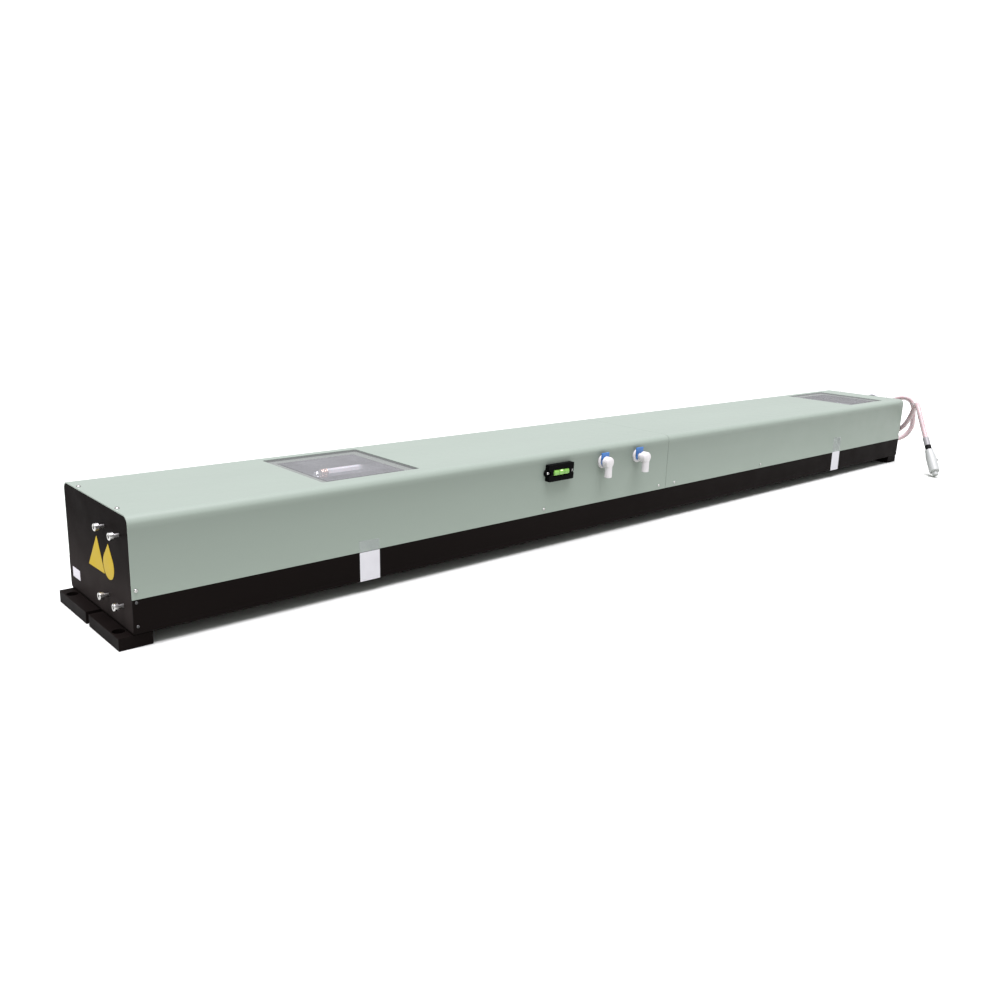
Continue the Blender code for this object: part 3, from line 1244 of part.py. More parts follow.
def make_high_voltage_lead():
    """Lead with two shrink bands and the connector on its end."""
    start = Vector((HOUSING_LENGTH + FIT + GLAND_HEX_LENGTH + GLAND_BOOT_LENGTH
                    + FIT, GLAND_Y, GLAND_Z))
    knots = [start + Vector(k) for k in LEAD_ROUTE]
    tube("hv_lead", smooth_route(knots, LEAD_STEP), LEAD_RADIUS, LEAD_SHEATH,
         sides=3)
    end = knots[-1]
    along = (knots[-1] - knots[-2]).normalized()
    ring = LEAD_RADIUS + FIT
    back = 0.0
    for name, length, mat in (("lead_sleeve_black", BLACK_BAND_LENGTH, RUBBER),
                              ("lead_sleeve_grey", GREY_BAND_LENGTH, GREY_SLEEVE)):
        back += length + FIT
        turned(name, [(ring + BAND_WALL, length), (ring + BAND_WALL, 0.0),
                      (ring, 0.0), (ring, length)],
               end - along * back, along, mat, steps=20, closed=True)
    r = CONNECTOR_RADIUS
    neck = CONNECTOR_NECK_RADIUS
    length = CONNECTOR_LENGTH
    face = end + along * FIT
    profile = [(0.0, length + CONNECTOR_PIN_LENGTH),
               (CONNECTOR_PIN_RADIUS, length + CONNECTOR_PIN_LENGTH),
               (CONNECTOR_PIN_RADIUS, length), (r * 0.86, length),
               (r, length - r * 0.14), (r, length * 0.3),
               (neck, length * 0.08), (neck, 0.0), (0.0, 0.0)]
    connector = turned("hv_connector", profile, face, along, WHITE_PLASTIC,
                       steps=24)
    side = Vector((0.745, -0.667, 0.02))
    side = (side - along * side.dot(along)).normalized()
    join(connector, rod("connector_boss", face + along * CONNECTOR_BOSS_PLACE,
                        side, CONNECTOR_BOSS_RADIUS, r + CONNECTOR_BOSS_REACH,
                        cutter=True))


def make_return_lead():
    """Thin return lead with its grommet and a ring terminal."""
    x = HOUSING_LENGTH + FIT
    turned("grommet", [(0.0, GROMMET_REACH), (RETURN_RADIUS + FIT, GROMMET_REACH),
                       (GROMMET_RADIUS, GROMMET_FLANGE), (GROMMET_RADIUS, 0.0),
                       (GROMMET_NECK_RADIUS, 0.0),
                       (GROMMET_NECK_RADIUS, -PLATE_THICKNESS),
                       (0.0, -PLATE_THICKNESS)],
           (x, GROMMET_Y, GROMMET_Z), (1, 0, 0), RUBBER, steps=20)
    start = Vector((x + GROMMET_REACH + FIT, GROMMET_Y, GROMMET_Z))
    knots = [start + Vector(k) for k in RETURN_ROUTE]
    tube("return_lead", smooth_route(knots, RETURN_STEP), RETURN_RADIUS, GREY_PVC)
    along = (knots[-1] - knots[-2]).normalized()
    face = knots[-1] + along * FIT
    barrel = rod("return_terminal", face, along, TERMINAL_BARREL_RADIUS,
                 TERMINAL_BARREL_LENGTH, STEEL)
    centre = face + along * (TERMINAL_BARREL_LENGTH + TERMINAL_RADIUS * 0.8)
    ring = plate("terminal_ring",
                 arc((0.0, 0.0), TERMINAL_RADIUS, 0, 345, 24), TERMINAL_SHEET,
                 FLAT, centre, cutter=True)
    join(barrel, ring)
    cut(barrel, rod("terminal_hole", centre - Vector((0, 0, 0.005)), (0, 0, 1),
                    TERMINAL_HOLE_RADIUS, 0.01, cutter=True))


make_base()
make_cover("cover_front", 0.0, SEAM_X - SEAM / 2, FRONT_WINDOW_X)
make_cover("cover_rear", SEAM_X + SEAM / 2, HOUSING_LENGTH, REAR_WINDOW_X)
for union_label, union_x in zip(("in", "out"), FITTING_XS):
    cut(bpy.data.objects["cover_front"],
        rod("cover_hole_" + union_label, (union_x, -0.005, FITTING_Z), (0, 1, 0),
            UNION_THREAD_RADIUS + FIT, 0.012, segments=24, cutter=True))
make_window("front", FRONT_WINDOW_X)
make_window("rear", REAR_WINDOW_X)
make_end_plates()
make_plate_bolts()
make_foot("front_foot", -FRONT_FOOT_OVERHANG, -1)
make_foot("rear_foot", HOUSING_LENGTH + REAR_FOOT_OVERHANG - FOOT_DEPTH, 1)
for tube_label, tube_y in (("near", NEAR_TUBE_Y), ("far", FAR_TUBE_Y)):
    make_glass(tube_label, tube_y)
    for electrode_end, electrode_x in electrode_places():
        make_electrode(tube_label, tube_y, electrode_end, electrode_x)
make_front_optics()
make_folding_block()
make_saddles()
make_hoses()
make_level()
make_gland()
make_high_voltage_lead()
make_return_lead()
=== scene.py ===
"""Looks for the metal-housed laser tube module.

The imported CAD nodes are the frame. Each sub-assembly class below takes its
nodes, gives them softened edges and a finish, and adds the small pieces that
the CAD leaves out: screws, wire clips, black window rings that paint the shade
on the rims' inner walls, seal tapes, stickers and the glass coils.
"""

import logging
import math
from dataclasses import dataclass, field
from enum import Enum
from typing import Optional, Sequence

import bmesh
import bpy
from mathutils import Matrix, Vector


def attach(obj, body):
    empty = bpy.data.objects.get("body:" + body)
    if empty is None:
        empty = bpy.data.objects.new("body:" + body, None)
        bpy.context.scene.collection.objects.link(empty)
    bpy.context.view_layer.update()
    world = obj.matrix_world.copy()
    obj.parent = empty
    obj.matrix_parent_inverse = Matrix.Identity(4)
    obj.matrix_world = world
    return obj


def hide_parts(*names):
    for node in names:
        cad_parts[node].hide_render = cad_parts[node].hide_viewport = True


LOG = logging.getLogger("laser_tube_scene")
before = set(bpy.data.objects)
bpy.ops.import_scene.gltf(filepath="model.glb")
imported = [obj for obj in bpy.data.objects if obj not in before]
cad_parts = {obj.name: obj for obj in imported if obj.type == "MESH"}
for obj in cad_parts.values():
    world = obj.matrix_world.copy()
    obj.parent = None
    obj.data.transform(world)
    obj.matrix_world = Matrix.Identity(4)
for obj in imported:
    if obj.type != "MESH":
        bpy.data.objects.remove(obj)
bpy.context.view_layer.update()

BODY = "root"

# Where the housing's own origin lies in the row frame: x from the front plate,
# y from the near side, z from the underside of the base
HOUSING_ORIGIN = Vector((-0.92215, -0.08695, 0.0153))
LENGTH = 1.830
WIDTH = 0.200
HEIGHT = 0.135
BASE_TOP = 0.041
WINDOW_MIDDLES = {"front": 0.328, "rear": 1.689}
TUBE_PLACES = {"near": 0.0555, "far": 0.1445}

# Steps between two knots of a route before its points are spaced evenly
CURVE_STEPS = 16

# Welding distance, bend that counts as flat and edge that stays sharp
WELD = 0.000002
FLAT_DEGREES = 0.6
SHARP_DEGREES = 38

# Where noise is taken as low and as high; most of it lies between
NOISE_LOW = 0.3
NOISE_HIGH = 0.7

Point = tuple[float, float, float]


def at(x: float, y: float, z: float) -> Vector:
    """Point of the row frame from housing coordinates in metres."""
    return HOUSING_ORIGIN + Vector((x, y, z))


class Side(Enum):
    """Faces of the housing that small pieces sit on."""

    NEAR = (0.0, -1.0, 0.0)
    FAR = (0.0, 1.0, 0.0)
    TOP = (0.0, 0.0, 1.0)
    FRONT = (-1.0, 0.0, 0.0)

    @property
    def normal(self) -> Vector:
        """Outward direction of the face."""
        return Vector(self.value)


class Brush(Enum):
    """Direction in which a metal was brushed or turned."""

    ALONG_X = (4.0, 420.0, 420.0)
    ALONG_Y = (420.0, 4.0, 420.0)
    NONE = (300.0, 300.0, 300.0)


class Edge(Enum):
    """Width of the soft edges of a piece."""

    NONE = 0.0
    FINE = 0.0002
    SHEET = 0.0003
    MACHINED = 0.0004
    MOULDED = 0.0005
    BAR = 0.0006


class NodeTree:
    """Small helper that adds nodes to a tree and links them."""

    tree: bpy.types.NodeTree

    def add(self, kind: str, inputs: Optional[dict] = None, **settings: object) -> bpy.types.Node:
        """Add a node.

        Args:
            kind: the node's type name.
            inputs: socket name or number to a value or an output to link.
            settings: the node's own properties.

        Returns:
            The new node.
        """
        node = self.tree.nodes.new(kind)
        for key, value in settings.items():
            setattr(node, key, value)
        for key, value in (inputs or {}).items():
            if isinstance(value, bpy.types.NodeSocket):
                self.tree.links.new(value, node.inputs[key])
            else:
                node.inputs[key].default_value = value
        return node


class ShaderTree(NodeTree):
    """Material with a Principled shader and the patterns that drive it."""

    def __init__(self, name: str) -> None:
        """Start a material with a Principled shader.

        Args:
            name: the material's name.
        """
        self.material = bpy.data.materials.new(name)
        self.material.use_nodes = True
        self.tree = self.material.node_tree
        self.shader = self.tree.nodes["Principled BSDF"]
        self.object_place = self.add("ShaderNodeTexCoord").outputs["Object"]

    def set(self, **values: object) -> None:
        """Set sockets of the Principled shader, with spaces as underscores."""
        for key, value in values.items():
            self.shader.inputs[key.replace("_", " ")].default_value = value

    def link(self, output: bpy.types.NodeSocket, socket: str) -> None:
        """Link an output to a socket of the Principled shader."""
        self.tree.links.new(output, self.shader.inputs[socket])

    def noise(self, scale: float, detail: float = 3.0, roughness: float = 0.5,
              stretch: Sequence[float] = (1.0, 1.0, 1.0)) -> bpy.types.NodeSocket:
        """Noise on Object coordinates.

        Args:
            scale: the noise's scale.
            detail: its octaves.
            roughness: how strong the fine octaves are.
            stretch: scale of each axis.

        Returns:
            The noise's factor.
        """
        place = self.add("ShaderNodeMapping", {"Vector": self.object_place, "Scale": stretch})
        node = self.add("ShaderNodeTexNoise",
                        {"Vector": place.outputs["Vector"], "Scale": scale,
                         "Detail": detail, "Roughness": roughness})
        return node.outputs["Fac"]

    def ramp(self, factor: bpy.types.NodeSocket,
             stops: Sequence[tuple[float, Sequence[float]]]) -> bpy.types.NodeSocket:
        """Colour ramp.

        Args:
            factor: what drives the ramp.
            stops: position and linear colour of each stop.

        Returns:
            The ramp's colour.
        """
        node = self.add("ShaderNodeValToRGB", {"Fac": factor})
        elements = node.color_ramp.elements
        while len(elements) < len(stops):
            elements.new(0.5)
        for element, (position, colour) in zip(elements, stops):
            element.position = position
            element.color = (*colour, 1.0)
        return node.outputs["Color"]

    def range(self, factor: bpy.types.NodeSocket, low: float, high: float,
              from_low: float = NOISE_LOW,
              from_high: float = NOISE_HIGH) -> bpy.types.NodeSocket:
        """Map a factor to a range of numbers.

        Args:
            factor: what is mapped.
            low: result at the low end.
            high: result at the high end.
            from_low: factor at the low end.
            from_high: factor at the high end.

        Returns:
            The mapped number.
        """
        node = self.add("ShaderNodeMapRange",
                        {"Value": factor, "From Min": from_low, "From Max": from_high,
                         "To Min": low, "To Max": high})
        return node.outputs["Result"]

    def bump(self, height: bpy.types.NodeSocket, distance: float, strength: float = 1.0,
             under: Optional[bpy.types.NodeSocket] = None) -> bpy.types.NodeSocket:
        """Bump from a height.

        Args:
            height: the pattern.
            distance: how deep it goes.
            strength: how much of it shows.
            under: another bump that this one lies on.

        Returns:
            The bumped normal.
        """
        inputs = {"Height": height, "Distance": distance, "Strength": strength}
        if under is not None:
            inputs["Normal"] = under
        return self.add("ShaderNodeBump", inputs).outputs["Normal"]

    def math(self, operation: str, *values: object, clamp: bool = False) -> bpy.types.NodeSocket:
        """Result of a Math node on numbers or outputs."""
        return self.add("ShaderNodeMath", dict(enumerate(values)), operation=operation,
                        use_clamp=clamp).outputs[0]

    def times(self, one: object, two: object) -> bpy.types.NodeSocket:
        """Product of two colours, which may pass white."""
        return self.add("ShaderNodeMix", {0: 1.0, 6: one, 7: two}, data_type="RGBA",
                        blend_type="MULTIPLY").outputs[2]

    def axes(self) -> bpy.types.NodeSocket:
        """Object coordinates split into X, Y and Z."""
        return self.add("ShaderNodeSeparateXYZ", {0: self.object_place}).outputs

    def paint(self, factor: bpy.types.NodeSocket, colour: Sequence[float], low: float,
              high: float) -> bpy.types.NodeSocket:
        """Let the base colour wander between two shares of its strength.

        Args:
            factor: the pattern.
            colour: the full colour.
            low: its share where the pattern is low.
            high: its share where the pattern is high.

        Returns:
            The colour.
        """
        tone = self.ramp(factor, [(NOISE_LOW, shade(colour, low)),
                                  (NOISE_HIGH, shade(colour, high))])
        self.link(tone, "Base Color")
        return tone

    def wear(self, factor: bpy.types.NodeSocket, roughness: float, low: float,
             high: float) -> None:
        """Let the roughness wander between two shares of its value."""
        self.link(self.range(factor, roughness * low, roughness * high), "Roughness")


def shade(colour: Sequence[float], factor: float) -> tuple[float, ...]:
    """Colour made lighter or darker by a factor."""
    return tuple(min(1.0, channel * factor) for channel in colour)


@dataclass(frozen=True)
class PowderCoat:
    """Sprayed coat with a faint orange peel and a little unevenness.

    Painted light by height holds places between the base's top (0) and the cover's top (1),
    each with the factor by which the colour is made lighter there: painted shade and painted
    highlight that stand in for how light falls on the housing.
    """

    name: str
    colour: Point
    roughness: float = 0.36
    specular: float = 0.5
    peel: float = 0.00003
    unevenness: float = 0.03
    painted_light_by_height: Sequence[tuple[float, float]] = ()
    broad_scale: float = 2.2
    handled_scale: float = 24.0
    peel_scale: float = 900.0
    wave_scale: float = 38.0
    wave: float = 0.00006
    lightest: float = 2.0

    def build(self) -> bpy.types.Material:
        """Make the material.

        Returns:
            The new material.
        """
        tree = ShaderTree(self.name)
        broad = tree.noise(self.broad_scale, 4.0, 0.55, (0.5, 2.0, 2.0))
        tone = tree.paint(broad, self.colour, 1.0 - self.unevenness, 1.0 + self.unevenness)
        # Painted light and shade: the colour is scaled by height to stand in for how light falls,
        # not the coat's own colour
        if self.painted_light_by_height:
            base = HOUSING_ORIGIN.z
            share = tree.range(tree.axes()["Z"], 0.0, 1.0, base + BASE_TOP, base + HEIGHT)
            weight = tree.ramp(share, [(place, (factor / self.lightest,) * 3)
                                       for place, factor in self.painted_light_by_height])
            brightest = tree.times(tone, (*(self.lightest,) * 3, 1.0))
            tree.link(tree.times(brightest, weight), "Base Color")
        tree.wear(tree.noise(self.handled_scale, 5.0, 0.62), self.roughness, 0.85, 1.2)
        peel = tree.noise(self.peel_scale, 2.0, 0.5)
        under = tree.bump(tree.noise(self.wave_scale, 1.0, 0.4), self.wave, 0.35)
        tree.link(tree.bump(peel, self.peel, 0.6, under), "Normal")
        tree.set(Specular_IOR_Level=self.specular)
        return tree.material


@dataclass(frozen=True)
class Metal:
    """Bare, brushed or turned metal."""

    name: str
    colour: Point
    roughness: float = 0.26
    brush: Brush = Brush.NONE
    metallic: float = 1.0
    contrast: float = 0.12
    patch_scale: float = 60.0
    scratch: float = 0.00002

    def build(self) -> bpy.types.Material:
        """Make the material.

        Returns:
            The new material.
        """
        tree = ShaderTree(self.name)
        streak = tree.noise(1.0, 3.0, 0.6, self.brush.value)
        tree.paint(streak, self.colour, 1.0 - self.contrast, 1.0 + self.contrast)
        tree.wear(tree.noise(self.patch_scale, 4.0, 0.6), self.roughness, 0.8, 1.35)
        tree.link(tree.bump(streak, self.scratch, 0.5), "Normal")
        tree.set(Metallic=self.metallic)
        return tree.material


@dataclass(frozen=True)
class Moulding:
    """Moulded plastic or rubber with a fine grain."""

    name: str
    colour: Point
    roughness: float = 0.35
    grain: float = 0.00002
    specular: float = 0.5
    glow: float = 0.0
    variation: float = 0.04
    tone_scale: float = 45.0
    grain_scale: float = 1400.0
    glow_reach: Point = (0.004, 0.003, 0.003)

    def build(self) -> bpy.types.Material:
        """Make the material.

        Returns:
            The new material.
        """
        tree = ShaderTree(self.name)
        tone = tree.noise(self.tone_scale, 3.0, 0.5)
        tree.paint(tone, self.colour, 1.0 - self.variation, 1.0 + self.variation)
        tree.wear(tone, self.roughness, 0.88, 1.15)
        tree.link(tree.bump(tree.noise(self.grain_scale, 2.0, 0.6), self.grain, 0.7), "Normal")
        tree.set(Specular_IOR_Level=self.specular, Subsurface_Weight=self.glow,
                 Subsurface_Radius=self.glow_reach)
        return tree.material


@dataclass(frozen=True)
class ClearSheet:
    """Thin clear wall: it reflects by Fresnel, has a haze and lets the rest through.

    Pane holds the middle and the half sizes of a window's opening in the row frame.
    Its haze lies on the lower face, whole over the opening and faint on the rim.
    """

    name: str
    colour: Point
    haze: float = 0.04
    index: float = 1.49
    roughness: float = 0.03
    gloss: float = 0.9
    metallic: float = 0.85
    pane: Optional[tuple[float, float, float, float]] = None
    rim_share: float = 0.2
    blend: float = 0.0004
    middle_height: float = 0.1484
    dust_scale: float = 26.0

    def spread(self, tree: ShaderTree) -> bpy.types.NodeSocket:
        """Share of a pane's haze at a point.

        Args:
            tree: the material's nodes.

        Returns:
            A factor from nought to one.
        """
        x_mid, y_mid, half_x, half_y = self.pane
        axes = tree.axes()
        inside = []
        for axis, middle, half in (("X", x_mid, half_x), ("Y", y_mid, half_y)):
            reach = tree.math("ABSOLUTE", tree.math("SUBTRACT", axes[axis], middle))
            inside.append(tree.range(reach, 1.0, 0.0, half, half + self.blend))
        share = tree.range(tree.math("MULTIPLY", *inside), self.rim_share, 1.0, 0.0, 1.0)
        lower = tree.range(axes["Z"], 1.0, 0.0, self.middle_height - self.blend / 2,
                           self.middle_height + self.blend / 2)
        return tree.math("MULTIPLY", share, lower)

    def build(self) -> bpy.types.Material:
        """Make the material.

        Returns:
            The new material.
        """
        tree = ShaderTree(self.name)
        dust = tree.noise(self.dust_scale, 5.0, 0.6)
        tree.paint(dust, self.colour, 0.96, 1.0)
        tree.wear(dust, self.roughness, 0.8, 1.4)
        back = tree.add("ShaderNodeNewGeometry").outputs["Backfacing"]
        front = tree.math("SUBTRACT", 1.0, back)
        mirror = tree.add("ShaderNodeFresnel", {"IOR": self.index}).outputs["Fac"]
        haze = tree.range(dust, self.haze * 0.85, self.haze * 1.15)
        veil = tree.math("MULTIPLY", haze, self.spread(tree) if self.pane else front)
        shine = tree.math("MULTIPLY", mirror, front)
        tree.link(tree.math("MULTIPLY_ADD", shine, self.gloss, veil, clamp=True), "Alpha")
        tree.set(Metallic=self.metallic)
        return tree.material


@dataclass(frozen=True)
class MilkySilicone:
    """Cloudy hose or sheath that lets a little light through."""

    name: str
    colour: Point
    alpha: float = 0.9
    roughness: float = 0.38
    cloud_scale: float = 70.0
    ripple_scale: float = 260.0
    ripple: float = 0.00004
    glow: float = 0.35
    glow_reach: Point = (0.006, 0.003, 0.003)

    def build(self) -> bpy.types.Material:
        """Make the material.

        Returns:
            The new material.
        """
        tree = ShaderTree(self.name)
        cloud = tree.noise(self.cloud_scale, 4.0, 0.55)
        tree.paint(cloud, self.colour, 0.92, 1.05)
        tree.wear(cloud, self.roughness, 0.8, 1.25)
        tree.link(tree.bump(tree.noise(self.ripple_scale, 2.0, 0.5), self.ripple, 0.5), "Normal")
        tree.set(Alpha=self.alpha, Subsurface_Weight=self.glow,
                 Subsurface_Radius=self.glow_reach)
        return tree.material


@dataclass(frozen=True)
class Film:
    """Foil, label or tape, with fine creases."""

    name: str
    colour: Point
    roughness: float = 0.3
    alpha: float = 1.0
    crease: float = 0.00006
    variation: float = 0.05
    specular: float = 0.15
    tone_scale: float = 30.0
    crease_scale: float = 85.0

    def build(self) -> bpy.types.Material:
        """Make the material.

        Returns:
            The new material.
        """
        tree = ShaderTree(self.name)
        tone = tree.noise(self.tone_scale, 4.0, 0.55)
        tree.paint(tone, self.colour, 1.0 - self.variation, 1.0 + self.variation)
        tree.wear(tone, self.roughness, 0.8, 1.3)
        tree.link(tree.bump(tree.noise(self.crease_scale, 3.0, 0.6), self.crease, 0.6), "Normal")
        tree.set(Alpha=self.alpha, Specular_IOR_Level=self.specular)
        return tree.material


class Finishes:
    """Every finish of the module, built once."""

    def __init__(self) -> None:
        """Build all materials."""
        # The sage coat's scaling by height is painted light: lighter near the base and at the bend,
        # darker high on the side (painted highlight and painted shade)
        self.sage = PowderCoat(
            "sage_coat", (0.200, 0.237, 0.203), 0.40, 0.14,
            painted_light_by_height=((0.0, 1.13), (0.55, 1.0), (0.84, 0.90), (0.93, 1.10), (1.0, 1.0))).build()
        # The rims' coat is a darker copy of the sage coat: painted shade under the panes
        self.ledge = PowderCoat("sage_ledge", (0.128, 0.143, 0.126), 0.5, 0.06).build()
        self.black = PowderCoat("black_coat", (0.0060, 0.0046, 0.0042), 0.45, 0.012,
                                0.00004, 0.14).build()
        # The plate's scaling by height is painted light: lighter low down and darker at the top
        self.anodised = PowderCoat("black_anodised_plate", (0.0120, 0.0100, 0.0095), 0.5, 0.003,
                                   0.00001, 0.10, ((0.0, 1.9), (0.35, 1.2), (0.7, 0.75))).build()
        self.steel = Metal("bright_steel", (0.48, 0.475, 0.46), 0.28).build()
        self.dark_steel = Metal("blackened_steel", (0.10, 0.10, 0.10), 0.35).build()
        self.strap_steel = Metal("strap_steel", (0.56, 0.56, 0.55), 0.3, Brush.ALONG_X).build()
        self.aluminium = Metal("milled_aluminium", (0.70, 0.71, 0.72), 0.33, Brush.ALONG_Y).build()
        self.nickel = Metal("nickel_sheet", (0.55, 0.53, 0.48), 0.3, Brush.ALONG_X).build()
        self.copper = Metal("copper_clip", (0.86, 0.60, 0.50), 0.34).build()
        self.gold = Metal("gold_mirror", (0.92, 0.68, 0.30), 0.08, Brush.NONE, 1.0, 0.03).build()
        self.amber = Metal("amber_lens", (0.78, 0.46, 0.12), 0.1, Brush.NONE, 0.5, 0.04).build()
        self.glass = ClearSheet("tube_glass", (0.88, 0.90, 0.95), 0.22, 1.47, 0.05, 1.1).build()
        self.panes = {
            label: ClearSheet("clear_acrylic_" + label, (0.305, 0.314, 0.318), haze, 1.49, 0.10,
                              0.55, 0.0, (*at(WINDOW_MIDDLES[label], WIDTH / 2, 0.0).xy,
                                          0.0602, 0.0622)).build()
            for label, haze in (("front", 0.34), ("rear", 0.25))}
        self.white = Moulding("white_moulding", (0.50, 0.49, 0.49), 0.33, glow=0.04).build()
        self.plug_white = Moulding("plug_white", (0.30, 0.315, 0.30), 0.4).build()
        self.blue = Moulding("blue_moulding", (0.02, 0.12, 0.36), 0.34).build()
        self.black_plastic = Moulding("black_moulding", (0.003, 0.003, 0.003), 0.45, 0.00003,
                                      0.012).build()
        self.rubber = Moulding("black_rubber", (0.006, 0.006, 0.006), 0.6, 0.00004, 0.05).build()
        self.grey_sleeve = Moulding("grey_sleeve", (0.20, 0.20, 0.20), 0.42, 0.00006).build()
        self.grey_pvc = Moulding("grey_pvc", (0.36, 0.36, 0.38), 0.42).build()
        self.red_core = Moulding("red_core", (0.50, 0.05, 0.04), 0.4).build()
        self.silicone = MilkySilicone("milky_silicone", (0.52, 0.51, 0.54), 1.0).build()
        self.sheath = MilkySilicone("lead_sheath", (0.43, 0.345, 0.345), 0.86).build()
        self.yellow = Film("yellow_foil", (0.43, 0.305, 0.012), 0.40, specular=0.03).build()
        self.label = Film("white_label", (0.60, 0.58, 0.62), 0.4).build()
        self.seal_white = Film("white_seal", (0.50, 0.50, 0.52), 0.35).build()
        self.seal_clear = Film("clear_seal", (0.42, 0.45, 0.45), 0.14, 0.18, 0.0002,
                               0.05, 0.5).build()
        self.vial = Moulding("green_vial", (0.155, 0.35, 0.065), 0.12, 0.0, 0.4, 0.1, 0.12).build()
        self.bubble = Moulding("vial_bubble", (0.60, 0.86, 0.38), 0.08, 0.0, 0.8).build()
        self.floor = Film("studio_floor", (0.58, 0.60, 0.565), 0.7, 1.0, 0.0, 0.01, 0.1).build()


class Workshop:
    """Builds meshes and hands finished pieces to the frame."""

    def __init__(self, finishes: Finishes) -> None:
        """Keep the finishes."""
        self.finishes = finishes

    def keep(self, obj: bpy.types.Object, slot: Optional[str] = None,
             replaces: Sequence[str] = ()) -> bpy.types.Object:
        """Let a piece ride on the module.

        Args:
            obj: the finished piece.
            slot: the record's material slot; not used.
            replaces: CAD nodes that it stands for.

        Returns:
            The same piece.
        """
        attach(obj, BODY)
        if replaces:
            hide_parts(*replaces)
        LOG.info("piece %s", obj.name)
        return obj

    def mesh_object(self, name: str, mesh: bpy.types.Mesh,
                    material: bpy.types.Material) -> bpy.types.Object:
        """Object at the origin with one material.

        Args:
            name: the object's name.
            mesh: its mesh.
            material: its finish.

        Returns:
            The object.
        """
        mesh.materials.clear()
        mesh.materials.append(material)
        obj = bpy.data.objects.new(name, mesh)
        bpy.context.scene.collection.objects.link(obj)
        return obj

    def bake(self, obj: bpy.types.Object) -> bpy.types.Object:
        """Turn live modifiers into plain mesh, with the place in the vertices.

        Args:
            obj: the object, which is removed.

        Returns:
            The plain mesh object.
        """
        bpy.context.view_layer.update()
        graph = bpy.context.evaluated_depsgraph_get()
        mesh = bpy.data.meshes.new_from_object(obj.evaluated_get(graph))
        mesh.transform(obj.matrix_world)
        name = obj.name
        old = obj.data
        bpy.data.objects.remove(obj, do_unlink=True)
        if isinstance(old, bpy.types.Curve):
            bpy.data.curves.remove(old)
        mesh.name = name
        result = bpy.data.objects.new(name, mesh)
        bpy.context.scene.collection.objects.link(result)
        return result

    def soften(self, obj: bpy.types.Object, width: float, angle: float) -> bpy.types.Object:
        """Bevel the sharp edges.

        Args:
            obj: the object, which is removed.
            width: width of the bevel.
            angle: edges sharper than this many degrees are softened.

        Returns:
            The plain mesh object.
        """
        edge = obj.modifiers.new("soft_edges", "BEVEL")
        edge.width = width
        edge.segments = 2
        edge.limit_method = "ANGLE"
        edge.angle_limit = math.radians(angle)
        return self.bake(obj)

    def polish(self, node: str, material: bpy.types.Material, slot: str,
               edge: Edge = Edge.MACHINED, angle: float = 30.0) -> bpy.types.Object:
        """Copy of a CAD node with welded faces, soft edges and smooth shading.

        Args:
            node: the CAD node.
            material: its finish.
            slot: the record's material slot.
            edge: width of the soft edges.
            angle: edges sharper than this many degrees are softened.

        Returns:
            The piece that stands for the node.
        """
        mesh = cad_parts[node].data.copy()
        bm = bmesh.new()
        bm.from_mesh(mesh)
        bmesh.ops.remove_doubles(bm, verts=bm.verts, dist=WELD)
        bmesh.ops.dissolve_limit(bm, angle_limit=math.radians(FLAT_DEGREES), verts=bm.verts,
                                 edges=bm.edges)
        bm.to_mesh(mesh)
        bm.free()
        obj = self.mesh_object(node + "_finished", mesh, material)
        mesh.shade_smooth()
        if edge is not Edge.NONE:
            obj = self.soften(obj, edge.value, angle)
        obj.data.set_sharp_from_angle(angle=math.radians(SHARP_DEGREES))
        flat = obj.modifiers.new("flat_faces_stay_flat", "WEIGHTED_NORMAL")
        flat.mode = "FACE_AREA"
        flat.weight = 100
        flat.keep_sharp = True
        return self.keep(self.bake(obj), slot, (node,))

    def loft(self, name: str, loops: Sequence[Sequence[Vector]], material: bpy.types.Material,
             wrap: bool = False, angle: Optional[float] = None) -> bpy.types.Object:
        """Closed skin over loops of points.

        Args:
            name: the piece's name.
            loops: each with the same number of points, or one point for a tip.
            material: the finish.
            wrap: join the last loop to the first instead of closing both ends.
            angle: shade smooth, but keep edges over this many degrees sharp.

        Returns:
            The object.
        """
        bm = bmesh.new()
        rings = [[bm.verts.new(point) for point in loop] for loop in loops]
        steps = max(len(ring) for ring in rings)
        pairs = list(zip(rings, rings[1:]))
        if wrap:
            pairs.append((rings[-1], rings[0]))
        else:
            for end in (rings[0], rings[-1]):
                if len(end) > 1:
                    bm.faces.new(end)
        for one, two in pairs:
            for i in range(steps):
                j = (i + 1) % steps
                corners = (one[i % len(one)], two[i % len(two)],
                           two[j % len(two)], one[j % len(one)])
                bm.faces.new(list(dict.fromkeys(corners)))
        bmesh.ops.recalc_face_normals(bm, faces=bm.faces)
        mesh = bpy.data.meshes.new(name)
        bm.to_mesh(mesh)
        bm.free()
        if angle is not None:
            mesh.shade_smooth()
            mesh.set_sharp_from_angle(angle=math.radians(angle))
        return self.mesh_object(name, mesh, material)

    def lathe(self, name: str, profile: Sequence[tuple[float, float]], start: Vector,
              direction: Vector, material: bpy.types.Material, steps: int = 40,
              angle: float = 40.0) -> bpy.types.Object:
        """Closed turned shape.

        Args:
            name: the piece's name.
            profile: radius and height from top to bottom, both ends on the axis
                or the last point joined to the first.
            start: where height nought lies.
            direction: the axis.
            material: the finish.
            steps: sides round the axis.
            angle: edges sharper than this stay sharp.

        Returns:
            The object.
        """
        turn = direction.normalized().to_track_quat("Z", "Y").to_matrix().to_4x4()
        place = Matrix.Translation(start) @ turn
        loops = []
        for radius, height in profile:
            count = steps if radius > 0.0 else 1
            arcs = [math.tau * i / steps for i in range(count)]
            loops.append([place @ Vector((radius * math.cos(a), radius * math.sin(a), height))
                          for a in arcs])
        return self.loft(name, loops, material, len(loops[0]) > 1, angle)

    def slab(self, name: str, outline: Sequence[Vector], normal: Vector, thickness: float,
             material: bpy.types.Material) -> bpy.types.Object:
        """Flat outline given a thickness outwards."""
        return self.loft(name, (outline, [p + normal * thickness for p in outline]), material)

